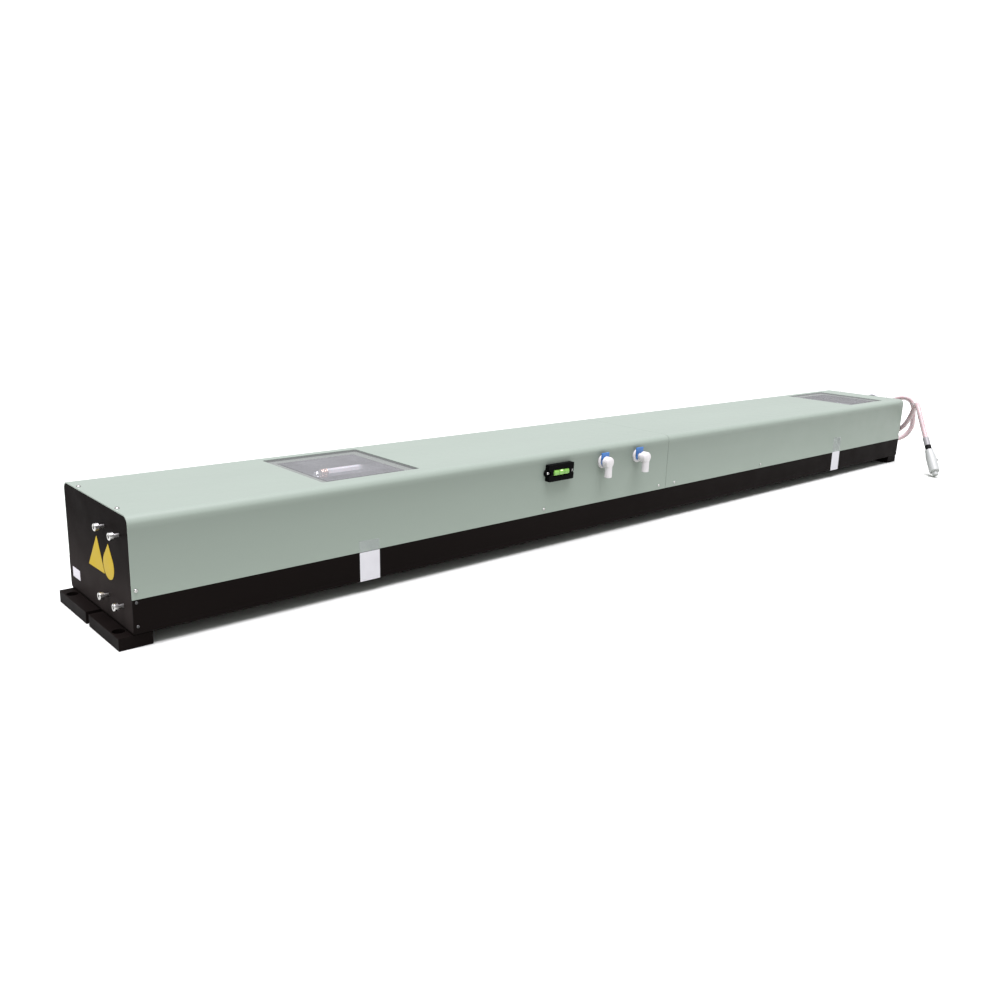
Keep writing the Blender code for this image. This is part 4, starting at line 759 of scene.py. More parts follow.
    def rod_along(self, name: str, points: Sequence[Vector], radius: float,
                  material: bpy.types.Material, sides: int = 5) -> bpy.types.Object:
        """Round curve object through evenly spaced points, with filled ends.

        Args:
            name: the piece's name.
            points: the centre line.
            radius: half the thickness.
            material: the finish.
            sides: fineness of the round section.

        Returns:
            The curve object.
        """
        curve = bpy.data.curves.new(name, "CURVE")
        curve.dimensions = "3D"
        curve.bevel_depth = radius
        curve.bevel_resolution = sides
        curve.use_fill_caps = True
        spline = curve.splines.new("POLY")
        spline.points.add(len(points) - 1)
        for point, place in zip(spline.points, points):
            point.co = (*place, 1.0)
        spline.use_smooth = True
        curve.materials.append(material)
        obj = bpy.data.objects.new(name, curve)
        bpy.context.scene.collection.objects.link(obj)
        return obj


class Recipe(NodeTree):
    """Geometry Nodes tree with named inputs, a fixed seed and one finish."""

    def __init__(self, name: str, **inputs: str) -> None:
        """Start the tree.

        Args:
            name: the tree's name.
            inputs: name of each input to its socket type, without the common prefix.
        """
        self.tree = bpy.data.node_groups.new(name, "GeometryNodeTree")
        face = self.tree.interface
        face.new_socket("Geometry", in_out="OUTPUT", socket_type="NodeSocketGeometry")
        face.new_socket("Geometry", in_out="INPUT", socket_type="NodeSocketGeometry")
        inputs["Finish"] = "Material"
        self.identifiers = {
            key: face.new_socket(key, in_out="INPUT", socket_type="NodeSocket" + kind).identifier
            for key, kind in inputs.items()}
        self.given = self.tree.nodes.new("NodeGroupInput").outputs

    def end(self, geometry: bpy.types.NodeSocket) -> "Recipe":
        """End in Realize Instances and Set Material.

        Args:
            geometry: what the tree has made.

        Returns:
            This recipe.
        """
        real = self.add("GeometryNodeRealizeInstances", {"Geometry": geometry})
        dressed = self.add("GeometryNodeSetMaterial", {"Geometry": real.outputs["Geometry"],
                                                       "Material": self.given["Finish"]})
        self.add("NodeGroupOutput", {"Geometry": dressed.outputs["Geometry"]})
        return self

    def grow(self, shop: Workshop, mesh: bpy.types.Mesh, **values: object) -> bpy.types.Object:
        """Run the tree once and keep the result as a plain mesh.

        Args:
            shop: the workshop.
            mesh: what the tree starts from.
            values: value of each named input.

        Returns:
            The plain mesh object.
        """
        obj = bpy.data.objects.new(mesh.name, mesh)
        bpy.context.scene.collection.objects.link(obj)
        run = obj.modifiers.new("recipe", "NODES")
        run.node_group = self.tree
        for key, value in values.items():
            run[self.identifiers[key]] = value
        obj = shop.bake(obj)
        bm = bmesh.new()
        bm.from_mesh(obj.data)
        bmesh.ops.recalc_face_normals(bm, faces=bm.faces)
        for face in bm.faces:
            face.material_index = 0
        bm.to_mesh(obj.data)
        bm.free()
        obj.data.materials.clear()
        obj.data.materials.append(values["Finish"])
        return obj


def screw_recipe() -> Recipe:
    """Screws on marked points, each turned by chance about its own axis.

    Returns:
        The tree.
    """
    recipe = Recipe("screws_on_points", Head="Object", Seed="Int")
    facing = recipe.add("GeometryNodeInputNamedAttribute", {"Name": "facing"},
                        data_type="FLOAT_VECTOR")
    size = recipe.add("GeometryNodeInputNamedAttribute", {"Name": "size"}, data_type="FLOAT")
    stand = recipe.add("FunctionNodeAlignRotationToVector", {"Vector": facing.outputs["Attribute"]},
                       axis="Z")
    chance = recipe.add("FunctionNodeRandomValue", {2: 0.0, 3: math.tau,
                                                    "Seed": recipe.given["Seed"]},
                        data_type="FLOAT")
    spin = recipe.add("FunctionNodeAxisAngleToRotation", {"Axis": (0.0, 0.0, 1.0),
                                                          "Angle": chance.outputs[1]})
    turned = recipe.add("FunctionNodeRotateRotation",
                        {"Rotation": stand.outputs["Rotation"],
                         "Rotate By": spin.outputs["Rotation"]}, rotation_space="LOCAL")
    head = recipe.add("GeometryNodeObjectInfo", {"Object": recipe.given["Head"]})
    rows = recipe.add("GeometryNodeInstanceOnPoints",
                      {"Points": recipe.given["Geometry"], "Instance": head.outputs["Geometry"],
                       "Rotation": turned.outputs["Rotation"],
                       "Scale": size.outputs["Attribute"]})
    return recipe.end(rows.outputs["Instances"])


def winding_recipe() -> Recipe:
    """Round rod wound about an axis: glass coils and wire clips.

    Returns:
        The tree.
    """
    recipe = Recipe("wound_rod", Turns="Float", Radius="Float", Rise="Float", Rod="Float",
                    Steps="Int", Sides="Int")
    path = recipe.add("GeometryNodeCurveSpiral",
                      {"Resolution": recipe.given["Steps"], "Rotations": recipe.given["Turns"],
                       "Start Radius": recipe.given["Radius"],
                       "End Radius": recipe.given["Radius"], "Height": recipe.given["Rise"]})
    ring = recipe.add("GeometryNodeCurvePrimitiveCircle",
                      {"Resolution": recipe.given["Sides"], "Radius": recipe.given["Rod"]})
    rod = recipe.add("GeometryNodeCurveToMesh",
                     {"Curve": path.outputs["Curve"], "Profile Curve": ring.outputs["Curve"],
                      "Fill Caps": True})
    soft = recipe.add("GeometryNodeSetShadeSmooth", {"Geometry": rod.outputs["Mesh"]})
    return recipe.end(soft.outputs["Geometry"])


def blend(a: Vector, b: Vector, start: float, end: float, now: float) -> Vector:
    """Point on the line from a to b, by where now lies between start and end."""
    return a * ((end - now) / (end - start)) + b * ((now - start) / (end - start))


def smooth_route(knots: Sequence[Vector], step: float) -> list[Vector]:
    """Evenly spaced points on a centripetal Catmull-Rom curve.

    Args:
        knots: the route's own points.
        step: spacing of the result.

    Returns:
        Points from the first knot to the last.
    """
    pts = [2 * knots[0] - knots[1], *knots, 2 * knots[-1] - knots[-2]]
    fine: list[Vector] = []
    for first in range(len(pts) - 3):
        four = pts[first:first + 4]
        t = [0.0]
        for a, b in zip(four, four[1:]):
            t.append(t[-1] + math.sqrt((b - a).length))
        for k in range(CURVE_STEPS):
            now = t[1] + (t[2] - t[1]) * k / CURVE_STEPS
            near = [blend(four[i], four[i + 1], t[i], t[i + 1], now) for i in range(3)]
            wide = [blend(near[i], near[i + 1], t[i], t[i + 2], now) for i in range(2)]
            fine.append(blend(*wide, t[1], t[2], now))
    fine.append(pts[-2].copy())
    lengths = [0.0]
    for a, b in zip(fine, fine[1:]):
        lengths.append(lengths[-1] + (b - a).length)
    count = max(2, round(lengths[-1] / step))
    route: list[Vector] = []
    j = 0
    for k in range(count + 1):
        s = lengths[-1] * k / count
        while j < len(lengths) - 2 and lengths[j + 1] < s:
            j += 1
        share = (s - lengths[j]) / (lengths[j + 1] - lengths[j])
        route.append(fine[j].lerp(fine[j + 1], share))
    return route


@dataclass
class Studio:
    """Camera, floor and soft lights."""

    position: Point = (-0.3420411615, -0.9433837594, 0.4043093248)
    azimuth: float = -0.7488596877778068
    elevation: float = 0.24936362045922691
    roll: float = 0.0383269733936652
    focal_share: float = 0.914457
    sensor: float = 36.0
    floor_reach: float = 60.0
    sky_light: float = 0.62
    sky_seen: float = 1.1
    sun_power: float = 8.0
    sun_spread: float = 0.9
    sun_from: Point = (-0.05, -0.07, 1.0)
    sun_colour: Point = (0.96, 0.92, 1.0)
    clip_start: float = 0.01
    clip_end: float = 200.0

    def camera(self) -> None:
        """Camera solved from the edges of the housing in the photograph."""
        back = Vector((math.sin(self.azimuth) * math.cos(self.elevation),
                       -math.cos(self.azimuth) * math.cos(self.elevation),
                       math.sin(self.elevation)))
        level = (-back).cross(Vector((0.0, 0.0, 1.0))).normalized()
        rise = level.cross(-back)
        right = level * math.cos(self.roll) + rise * math.sin(self.roll)
        up = rise * math.cos(self.roll) - level * math.sin(self.roll)
        data = bpy.data.cameras.new("photo_camera")
        data.sensor_width = self.sensor
        data.sensor_fit = "HORIZONTAL"
        data.lens = self.focal_share * self.sensor
        data.clip_start = self.clip_start
        data.clip_end = self.clip_end
        obj = bpy.data.objects.new("photo_camera", data)
        turn = Matrix((right, up, back)).transposed().to_4x4()
        obj.matrix_world = Matrix.Translation(at(*self.position)) @ turn
        bpy.context.scene.collection.objects.link(obj)
        bpy.context.scene.camera = obj

    def floor(self, material: bpy.types.Material) -> None:
        """Plain pale floor.

        Args:
            material: its finish.
        """
        mesh = bpy.data.meshes.new("floor")
        reach = self.floor_reach
        mesh.from_pydata([(-reach, -reach, 0.0), (reach, -reach, 0.0),
                          (reach, reach, 0.0), (-reach, reach, 0.0)], [], [(0, 1, 2, 3)])
        mesh.materials.append(material)
        obj = bpy.data.objects.new("floor", mesh)
        bpy.context.scene.collection.objects.link(obj)

    def lights(self) -> None:
        """White surroundings and one broad soft light, a little towards the near side."""
        world = bpy.data.worlds.new("studio")
        world.use_nodes = True
        tree = world.node_tree
        back = tree.nodes["Background"]
        path = tree.nodes.new("ShaderNodeLightPath")
        level = tree.nodes.new("ShaderNodeMapRange")
        level.inputs["To Min"].default_value = self.sky_light
        level.inputs["To Max"].default_value = self.sky_seen
        tree.links.new(path.outputs["Is Camera Ray"], level.inputs["Value"])
        tree.links.new(level.outputs["Result"], back.inputs["Strength"])
        back.inputs["Color"].default_value = (1.0, 1.0, 1.0, 1.0)
        bpy.context.scene.world = world
        data = bpy.data.lights.new("broad_overhead", "SUN")
        data.energy = self.sun_power
        data.angle = self.sun_spread
        data.color = self.sun_colour
        obj = bpy.data.objects.new("broad_overhead", data)
        obj.matrix_world = Vector(self.sun_from).to_track_quat("Z", "Y").to_matrix().to_4x4()
        bpy.context.scene.collection.objects.link(obj)

    def build(self, finishes: Finishes) -> None:
        """Set up the whole studio.

        Args:
            finishes: where the floor's finish is.
        """
        self.camera()
        self.floor(finishes.floor)
        self.lights()
        settings = bpy.context.scene.view_settings
        settings.view_transform = "Standard"
        settings.look = "None"


@dataclass
class Assembly:
    """Sub-assembly: CAD nodes to dress and small pieces to add."""

    shop: Workshop

    def dress(self, material: bpy.types.Material, slot: str, *nodes: str,
              edge: Edge = Edge.MACHINED, angle: float = 30.0) -> None:
        """Polish several CAD nodes alike."""
        for node in nodes:
            self.shop.polish(node, material, slot, edge, angle)


@dataclass
class Leads(Assembly):
    """High-voltage lead, its bands and connector, and the return lead."""

    gland_end: Point = (1.8606, 0.096, 0.086)
    lead_radius: float = 0.0055
    core_radius: float = 0.0026
    lead_route: Sequence[Point] = (
        (0.0, 0.0, 0.0), (0.008, 0.0, 0.0), (0.0158, -0.0005, 0.0012),
        (0.0310, -0.0026, 0.0054), (0.0447, -0.0068, 0.0123),
        (0.0563, -0.0138, 0.0210), (0.0651, -0.0242, 0.0305),
        (0.0714, -0.0375, 0.0380), (0.0766, -0.0520, 0.0405),
        (0.0806, -0.0648, 0.0340), (0.0824, -0.0720, 0.0205),
        (0.0829, -0.0745, 0.0050), (0.0823, -0.0760, -0.0110),
        (0.0804, -0.0764, -0.0270), (0.0751, -0.0724, -0.0424),
        (0.0663, -0.0644, -0.0540), (0.0547, -0.0548, -0.0602),
        (0.0407, -0.0468, -0.0606), (0.0261, -0.0424, -0.0562),
        (0.0123, -0.0444, -0.0496), (0.0017, -0.0532, -0.0430),
        (-0.0049, -0.0664, -0.0364), (-0.0079, -0.0802, -0.0288),
        (-0.0087, -0.0926, -0.0180), (-0.0093, -0.1016, -0.0044),
        (-0.0111, -0.1084, 0.0102), (-0.0159, -0.1146, 0.0244),
        (-0.0243, -0.1213, 0.0364), (-0.0372, -0.1298, 0.0428),
        (-0.0504, -0.1390, 0.0396), (-0.0599, -0.1476, 0.0296),
        (-0.0669, -0.1555, 0.0177), (-0.0734, -0.1635, 0.0058),
        (-0.0799, -0.1714, -0.0060), (-0.0843, -0.1767, -0.0134),
        (-0.0894, -0.1829, -0.0223), (-0.1039, -0.2005, -0.0475))
    grommet_end: Point = (1.8356, 0.130, 0.092)
    return_radius: float = 0.00225
    return_route: Sequence[Point] = (
        (0.0, 0.0, 0.0), (0.0074, 0.0, 0.0), (0.0144, -0.003, 0.003),
        (0.0184, -0.010, 0.013), (0.0184, -0.0185, 0.025),
        (0.0174, -0.028, 0.0355), (0.0164, -0.039, 0.0415),
        (0.0154, -0.0505, 0.0405), (0.0149, -0.060, 0.033),
        (0.0149, -0.0665, 0.020), (0.0154, -0.069, 0.004),
        (0.0159, -0.0685, -0.014), (0.0164, -0.066, -0.032),
        (0.0169, -0.061, -0.050), (0.0194, -0.055, -0.068),
        (0.0244, -0.049, -0.084), (0.0334, -0.043, -0.097),
        (0.0454, -0.038, -0.1035), (0.0594, -0.034, -0.1048),
        (0.0744, -0.028, -0.1048), (0.0844, -0.018, -0.1048),
        (0.0884, -0.004, -0.1048))
    fine_step: float = 0.004
    return_step: float = 0.0032

    def high_voltage(self) -> None:
        """Milky sheath over a red core, two shrink bands and the connector."""
        shop, done = self.shop, self.shop.finishes
        start = at(*self.gland_end)
        points = smooth_route([start + Vector(k) for k in self.lead_route], self.fine_step)
        sheath = shop.rod_along("high_voltage_lead", points, self.lead_radius, done.sheath)
        core = shop.keep(shop.rod_along("high_voltage_core", points, self.core_radius,
                                        done.red_core, 3))
        grey = shop.polish("lead_sleeve_grey", done.grey_sleeve, "grey_sleeve", Edge.SHEET)
        black = shop.polish("lead_sleeve_black", done.rubber, "black_rubber", Edge.SHEET)
        plug = shop.polish("hv_connector", done.plug_white, "white_acetal", Edge.MOULDED)
        shop.keep(sheath, "lead_sheath", ("hv_lead",))

    def ground(self) -> None:
        """Thin grey return lead with its ring terminal."""
        shop, done = self.shop, self.shop.finishes
        start = at(*self.grommet_end)
        points = smooth_route([start + Vector(k) for k in self.return_route], self.return_step)
        lead = shop.rod_along("return_lead_sheath", points, self.return_radius, done.grey_pvc, 3)
        terminal = shop.polish("return_terminal", done.steel, "bright_steel", Edge.FINE)
        shop.keep(lead, "grey_pvc", ("return_lead",))

    def build(self) -> None:
        """Make both leads and what they come out of."""
        self.high_voltage()
        self.ground()
        done = self.shop.finishes
        self.dress(done.black_plastic, "black_moulding", "hv_gland", edge=Edge.MOULDED)
        self.dress(done.rubber, "black_rubber", "grommet", edge=Edge.SHEET)


@dataclass
class Housing(Assembly):
    """Covers, base, end plates, feet and windows."""

    sheet_angle: float = 50.0

    def build(self) -> None:
        """Dress the sheet housing."""
        done = self.shop.finishes
        sheet = {"edge": Edge.SHEET, "angle": self.sheet_angle}
        self.dress(done.sage, "sage_powder_coat", "cover_front", "cover_rear", **sheet)
        # The window rims get the darker copy of the sage coat: painted shade
        self.dress(done.ledge, "sage_powder_coat", "front_window_rim", "rear_window_rim", **sheet)
        self.dress(done.black, "black_powder_coat", "front_foot", "rear_foot", edge=Edge.BAR)
        self.dress(done.black, "black_powder_coat", "base_channel", **sheet)
        self.dress(done.anodised, "black_anodised", "front_end_plate", "rear_end_plate")
        for label, pane in done.panes.items():
            self.dress(pane, "clear_acrylic", label + "_window_pane", edge=Edge.SHEET)


class Optics(Assembly):
    """Glass tubes and everything that carries them."""

    def build(self) -> None:
        """Dress the inside of the housing."""
        done = self.shop.finishes
        for label in TUBE_PLACES:
            self.dress(done.glass, "borosilicate_glass", "laser_tube_" + label, edge=Edge.NONE)
            self.dress(done.gold, "gold_mirror", "fold_mirror_" + label, edge=Edge.FINE)
            self.dress(done.nickel, "nickel", "electrode_%s_front" % label,
                       "electrode_%s_rear" % label, edge=Edge.FINE)
        self.dress(done.aluminium, "machined_aluminium", "front_bracket", "rear_bracket",
                   "folding_block")
        self.dress(done.aluminium, "machined_aluminium", "output_mirror_mount",
                   "rear_mirror_mount", edge=Edge.SHEET)
        self.dress(done.amber, "amber_mirror", "output_mirror", edge=Edge.FINE)
        self.dress(done.gold, "gold_mirror", "rear_mirror", edge=Edge.FINE)
        for place in ("front", "middle", "rear"):
            self.dress(done.black_plastic, "black_moulding", "saddle_" + place)
            self.dress(done.strap_steel, "bright_steel", "strap_" + place, edge=Edge.FINE)


class WaterFittings(Assembly):
    """Unions, clips, elbows and hoses."""

    def build(self) -> None:
        """Dress the water circuit."""
        done = self.shop.finishes
        for label in ("in", "out"):
            self.dress(done.white, "white_acetal", "water_union_" + label,
                       "union_nut_" + label, "elbow_" + label)
            self.dress(done.white, "white_acetal", "inner_elbow_" + label, edge=Edge.NONE)
            self.dress(done.blue, "blue_acetal", "clip_" + label)
        self.dress(done.silicone, "clear_silicone", "hose_in", "hose_out", "hose_link",
                   edge=Edge.NONE)


@dataclass
class SpiritLevel(Assembly):
    """Body, vial with its bubble and rings."""

    middle: Point = (0.653, -0.0053, 0.105)
    vial_radius: float = 0.0047
    vial_half: float = 0.0165
    bubble_half: float = 0.0042
    ring_place: float = 0.0058
    ring_half: float = 0.00025
    ring_proud: float = 0.00012
    ring_sunk: float = 0.0003
    bubble_forward: float = 0.42
    bubble_up: float = 0.38
    vial_shape: Sequence[tuple[float, float]] = ((0.0, 0.0), (0.7, 0.0002), (1.0, 0.0012))
    bubble_waist: float = 0.5
    bubble_steps: int = 24
    bubble_shape: Sequence[tuple[float, float]] = ((0.0, 1.0), (0.3, 0.9), (0.45, 0.6))

    def build(self) -> None:
        """Dress the level."""
        shop, done = self.shop, self.shop.finishes
        shop.polish("level_body", done.black_plastic, "black_moulding")
        middle = at(*self.middle)
        along = Vector((1.0, 0.0, 0.0))
        r, half = self.vial_radius, self.vial_half
        top = [(r * share, half - drop) for share, drop in self.vial_shape]
        vial = shop.lathe("level_vial_tube", top + [(x, -h) for x, h in reversed(top)],
                          middle, along, done.vial)
        shop.keep(vial, "green_vial", ("level_vial",))
        outer, inner, wide = r + self.ring_proud, r - self.ring_sunk, self.ring_half
        for label, side in (("front", -1), ("rear", 1)):
            ring = shop.lathe("level_ring_" + label,
                              [(outer, wide), (outer, -wide), (inner, -wide), (inner, wide)],
                              middle + along * side * self.ring_place, along, done.rubber)
            shop.keep(ring, "black_moulding")
        top = [(r * share, self.bubble_half * h) for share, h in self.bubble_shape]
        profile = [*top, (r * self.bubble_waist, 0.0), *((x, -h) for x, h in reversed(top))]
        rise = Vector((0.0, -r * self.bubble_forward, r * self.bubble_up))
        shop.keep(shop.lathe("level_bubble", profile, middle + rise, along, done.bubble,
                             self.bubble_steps))


class PlateBolts(Assembly):
    """Socket-head bolts of the front plate."""

    def build(self) -> None:
        """Dress the bolts."""
        for number in range(1, 5):
            self.dress(self.shop.finishes.steel, "bright_steel", "plate_bolt_%d" % number,
                       edge=Edge.FINE)


@dataclass
class SmallScrews(Assembly):
    """Button-head screws of the covers, base, level and straps."""

    edge_inset: float = 0.0045
    cover_radius: float = 0.0028
    seam_radius: float = 0.0022
    base_radius: float = 0.0018
    level_radius: float = 0.0026
    strap_radius: float = 0.0027
    top_places: Sequence[float] = (0.039, 0.160)
    cover_height: float = 0.0517
    base_heights: Sequence[float] = (0.0106, 0.0380)
    seam_places: Sequence[float] = (0.627, 0.908, 0.952, 1.227)
    seam_height: float = 0.0485
    level_places: Sequence[float] = (0.6274, 0.6786)
    strap_places: Sequence[float] = (0.180, 0.915, 1.570)
    strap_sides: Sequence[float] = (0.0127, 0.1873)
    level_depth: float = -0.0043
    level_height: float = 0.105
    strap_top: float = 0.0578
    seed: int = 7
    head_steps: int = 24
    dome: Sequence[tuple[float, float]] = (
        (0.97, 0.0), (1.0, 0.06), (0.99, 0.14), (0.92, 0.32), (0.80, 0.46), (0.66, 0.55))
    socket: Sequence[tuple[float, float]] = ((0.46, 0.56), (0.46, 0.16))
    socket_edge: float = 45.0

    def head(self) -> bpy.types.Object:
        """Domed head of radius one with a hexagon socket.

        Returns:
            The object that the tree sets on each mark.
        """
        sixth = math.pi / 3
        loops = []
        for ring in (*self.dome, *self.socket):
            loop = []
            for i in range(self.head_steps):
                a = math.tau * i / self.head_steps
                flat = math.cos(sixth / 2) / math.cos(a % sixth - sixth / 2)
                radius = ring[0] * (flat if ring in self.socket else 1.0)
                loop.append(Vector((radius * math.cos(a), radius * math.sin(a), ring[1])))
            loops.append(loop)
        return self.shop.loft("button_head", loops, self.shop.finishes.steel,
                              angle=self.socket_edge)

    @property
    def ends(self) -> tuple[float, float]:
        """Places near both ends of the housing."""
        return self.edge_inset, LENGTH - self.edge_inset

    def bright(self) -> list[tuple[Vector, Side, float]]:
        """Bright screws of the level, the straps and the covers.

        Returns:
            Place, face and radius of each.
        """
        found = [(at(x, self.level_depth, self.level_height), Side.NEAR, self.level_radius)
                 for x in self.level_places]
        found += [(at(x, y, self.strap_top), Side.TOP, self.strap_radius)
                  for x in self.strap_places for y in self.strap_sides]
        found += [(at(x, y, HEIGHT), Side.TOP, self.cover_radius)
                  for x in self.ends for y in self.top_places]
        for y, side in ((0.0, Side.NEAR), (WIDTH, Side.FAR)):
            found += [(at(x, y, self.cover_height), side, self.seam_radius) for x in self.ends]
            found += [(at(x, y, self.seam_height), side, self.seam_radius)
                      for x in self.seam_places]
        return found

    def dark(self) -> list[tuple[Vector, Side, float]]:
        """Blackened screws of the base.

        Returns:
            Place, face and radius of each.
        """
        return [(at(x, y, z), side, self.base_radius)
                for x in self.ends
                for y, side in ((0.0, Side.NEAR), (WIDTH, Side.FAR))
                for z in self.base_heights]

    def build(self) -> None:
        """Set all screws with one tree."""
        recipe = screw_recipe()
        head = self.head()
        shop, done = self.shop, self.shop.finishes
        for name, marks, material, slot in (
                ("cover_screws", self.bright(), done.steel, "bright_steel"),
                ("base_screws", self.dark(), done.dark_steel, None)):
            mesh = bpy.data.meshes.new(name)
            mesh.from_pydata([tuple(place) for place, _, _ in marks], [], [])
            mesh.attributes.new("facing", "FLOAT_VECTOR", "POINT")
            mesh.attributes.new("size", "FLOAT", "POINT")
            for i, (_, side, radius) in enumerate(marks):
                mesh.attributes["facing"].data[i].vector = side.normal
                mesh.attributes["size"].data[i].value = radius
            shop.keep(recipe.grow(shop, mesh, Head=head, Seed=self.seed, Finish=material), slot)
        bpy.data.objects.remove(head, do_unlink=True)


@dataclass
class Windings(Assembly):
    """Glass gas-return coils round the tubes' cores and wire clips on the hoses."""

    coil: dict = field(default_factory=lambda: {
        "Turns": 6.0, "Radius": 0.0285, "Rise": 0.046, "Rod": 0.0030, "Steps": 40, "Sides": 10})
    clip: dict = field(default_factory=lambda: {
        "Turns": 3.5, "Rise": 0.0100, "Rod": 0.0010, "Steps": 28, "Sides": 8})
    coil_start: float = 0.258
    axis_height: float = 0.066
    nozzle_clip: float = 0.0056
    hose_clip: float = 0.0070
    nozzle_height: float = 0.114
    nozzle_ends: dict = field(default_factory=lambda: {
        ("hose_in_tube", "near"): 0.3228, ("hose_out_tube", "far"): 0.3228,
        ("link_near", "near"): 1.5088, ("link_far", "far"): 1.5088})
    union_ends: dict = field(default_factory=lambda: {
        "hose_in_union": 0.7180, "hose_out_union": 0.8042})
    union_line: tuple[float, float] = (0.0198, 0.109)

    def wind(self, recipe: Recipe, name: str, start: Vector,
             **values: object) -> bpy.types.Object:
        """One winding along the housing.

        Args:
            recipe: the winding tree.
            name: the piece's name.
            start: middle of its first turn.
            values: the tree's inputs.

        Returns:
            The plain mesh object.
        """
        piece = recipe.grow(self.shop, bpy.data.meshes.new(name), **values)
        piece.data.transform(Matrix.Translation(start) @ Matrix.Rotation(math.pi / 2, 4, "Y"))
        return piece

    def build(self) -> None:
        """Wind the coils and the clips."""
        recipe = winding_recipe()
        shop, done = self.shop, self.shop.finishes
        for label, y in TUBE_PLACES.items():
            coil = self.wind(recipe, "gas_return_" + label,
                             at(self.coil_start, y, self.axis_height), **self.coil,
                             Finish=done.glass)
            shop.keep(coil, "borosilicate_glass")
        places = [(name, at(x, TUBE_PLACES[tube], self.nozzle_height), self.nozzle_clip)
                  for (name, tube), x in self.nozzle_ends.items()]
        places += [(name, at(x, *self.union_line), self.hose_clip)
                   for name, x in self.union_ends.items()]
        for name, start, radius in places:
            shop.keep(self.wind(recipe, "wire_clip_" + name, start, **self.clip,
                                Radius=radius, Finish=done.copper))


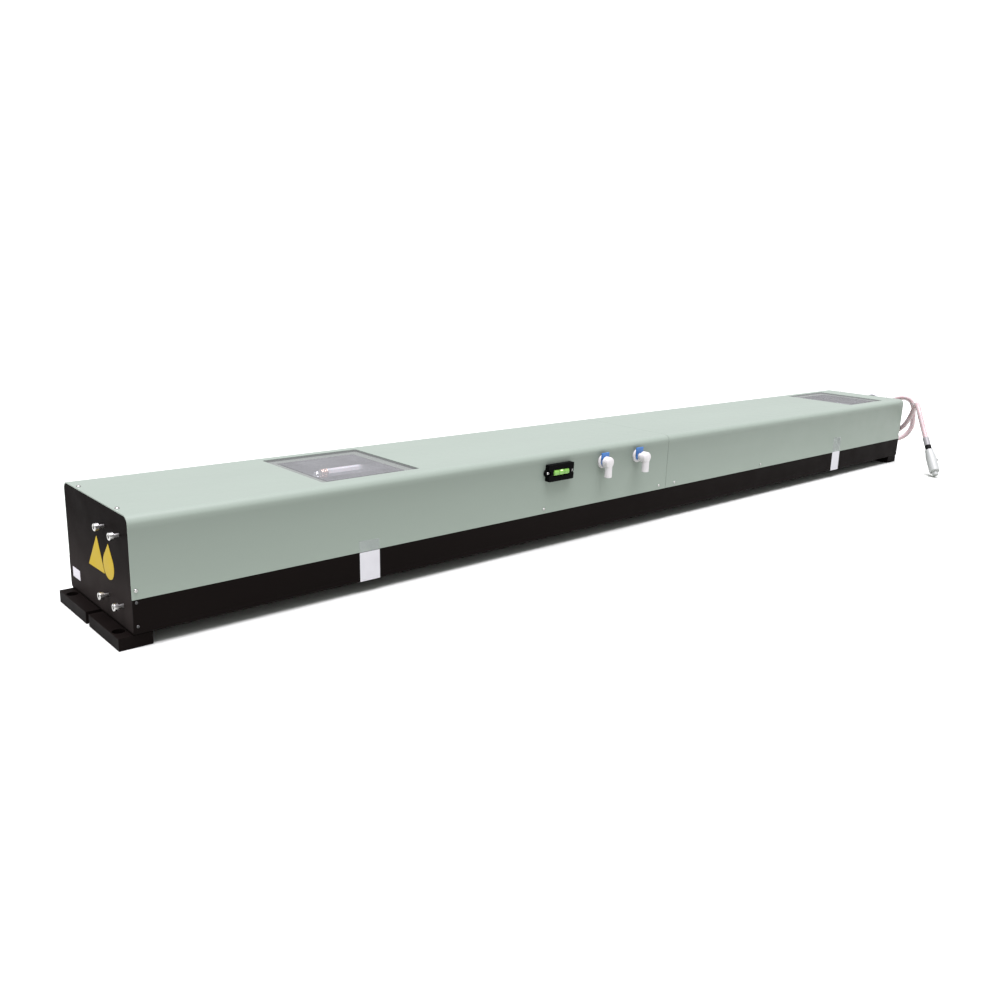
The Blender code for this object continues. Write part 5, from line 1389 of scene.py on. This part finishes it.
@dataclass
class Foils(Assembly):
    """Plain stickers, the blank label and the two seal tapes."""

    thickness: float = 0.00015
    clearance: float = 0.00002
    corner_steps: int = 5
    triangle: Sequence[tuple[float, float]] = (
        (0.0971, 0.0915), (0.1290, 0.0494), (0.0778, 0.0505))
    triangle_corner: float = 0.0010
    label: Sequence[tuple[float, float]] = (
        (0.1645, 0.0170), (0.1893, 0.0170), (0.1893, 0.0297), (0.1645, 0.0297))
    label_corner: float = 0.0006
    drop_middle: tuple[float, float] = (0.0640, 0.0636)
    drop_tip: tuple[float, float] = (0.0618, 0.0900)
    drop_radius: float = 0.0160
    drop_steps: int = 30
    tape_places: Sequence[tuple[float, float, float, float]] = (
        (0.292, 0.323, 0.0405, 0.0565), (1.5125, 1.544, 0.042, 0.074))
    tape_foot: float = 0.0012
    tape_lean: float = 0.0010

    def rounded(self, corners: Sequence[tuple[float, float]],
                radius: float) -> list[tuple[float, float]]:
        """Polygon with rounded corners.

        Args:
            corners: corner points, anticlockwise.
            radius: radius of every corner.

        Returns:
            The outline's points.
        """
        outline: list[tuple[float, float]] = []
        count = len(corners)
        for i, corner in enumerate(corners):
            here = Vector(corner)
            back = (Vector(corners[i - 1]) - here).normalized()
            ahead = (Vector(corners[(i + 1) % count]) - here).normalized()
            half = back.angle(ahead) / 2
            reach = radius / math.tan(half)
            centre = here + (back + ahead).normalized() * (radius / math.sin(half))
            first = here + back * reach - centre
            last = here + ahead * reach - centre
            for k in range(self.corner_steps + 1):
                arm = first.lerp(last, k / self.corner_steps).normalized() * radius
                outline.append(tuple(centre + arm))
        return outline

    def on_front(self, name: str, outline: Sequence[tuple[float, float]],
                 thickness: float, material: bpy.types.Material) -> None:
        """Foil on the front plate from an outline in y and z."""
        face = [at(-self.clearance, y, z) for y, z in outline]
        self.shop.keep(self.shop.slab(name, face, Side.FRONT.normal, thickness, material))

    def drop(self) -> list[tuple[float, float]]:
        """Teardrop outline with its tip upwards.

        Returns:
            The outline's points.
        """
        centre, tip, radius = Vector(self.drop_middle), Vector(self.drop_tip), self.drop_radius
        lean = math.atan2(tip.y - centre.y, tip.x - centre.x)
        open_angle = math.acos(radius / (tip - centre).length)
        points = [tuple(tip)]
        for k in range(self.drop_steps + 1):
            a = lean + open_angle + (math.tau - 2 * open_angle) * k / self.drop_steps
            points.append((centre.x + radius * math.cos(a), centre.y + radius * math.sin(a)))
        return points

    def tapes(self) -> None:
        """Seal tapes over the seam between cover and base, with a clear upper end."""
        shop, done = self.shop, self.shop.finishes
        lean = self.tape_lean
        for number, (x0, x1, change, top) in enumerate(self.tape_places, 1):
            white = [(x0 + lean, self.tape_foot), (x1 + lean, self.tape_foot),
                     (x1, change), (x0, change)]
            clear = [(x0, change), (x1, change), (x1 - lean, top - lean), (x0 - lean, top)]
            for name, outline, material in (("seal_tape_%d", white, done.seal_white),
                                            ("seal_end_%d", clear, done.seal_clear)):
                face = [at(x, -self.clearance, z) for x, z in outline]
                shop.keep(shop.slab(name % number, face, Side.NEAR.normal, self.thickness,
                                    material))

    def build(self) -> None:
        """Put on every foil."""
        done = self.shop.finishes
        self.on_front("triangle_sticker", self.rounded(self.triangle, self.triangle_corner),
                      self.thickness, done.yellow)
        self.on_front("drop_sticker", self.drop(), 2 * self.thickness, done.yellow)
        self.on_front("blank_label", self.rounded(self.label, self.label_corner),
                      self.thickness, done.label)
        self.tapes()


@dataclass
class RimShadeRings(Assembly):
    """Black rings lining the window rims, lapped over their inner edges: painted shade where the
    rims' inner walls lie in shade.
    """

    half_x: float = 0.061
    half_y: float = 0.063
    slack: float = 0.0001
    wall: float = 0.0009
    lap: float = 0.0003
    low: float = 0.1297
    ledge: float = 0.13131
    high: float = 0.13155

    def build(self) -> None:
        """One square ring for each window."""
        shop = self.shop
        section = ((self.slack, self.low), (self.slack, self.ledge), (-self.lap, self.ledge),
                   (-self.lap, self.high), (self.wall, self.high), (self.wall, self.low))
        for label, x_mid in WINDOW_MIDDLES.items():
            loops = [[at(x_mid + sx * (self.half_x - inset),
                         WIDTH / 2 + sy * (self.half_y - inset), z)
                      for sx, sy in ((-1, -1), (1, -1), (1, 1), (-1, 1))]
                     for inset, z in section]
            # Painted shade: a black ring standing in for the shadow on the rim's inner walls
            ring = shop.loft(label + "_window_gasket", loops, shop.finishes.rubber, wrap=True)
            shop.keep(ring, "black_rubber")


def main() -> None:
    """Build the studio and every sub-assembly in order."""
    logging.basicConfig(level=logging.INFO, format="%(message)s")
    finishes = Finishes()
    shop = Workshop(finishes)
    Studio().build(finishes)
    for kind in (Leads, Housing, RimShadeRings, Optics, Windings, WaterFittings, SpiritLevel,
                 PlateBolts, SmallScrews, Foils):
        kind(shop).build()
        LOG.info("built %s", kind.__name__)


if __name__ == "__main__":
    main()
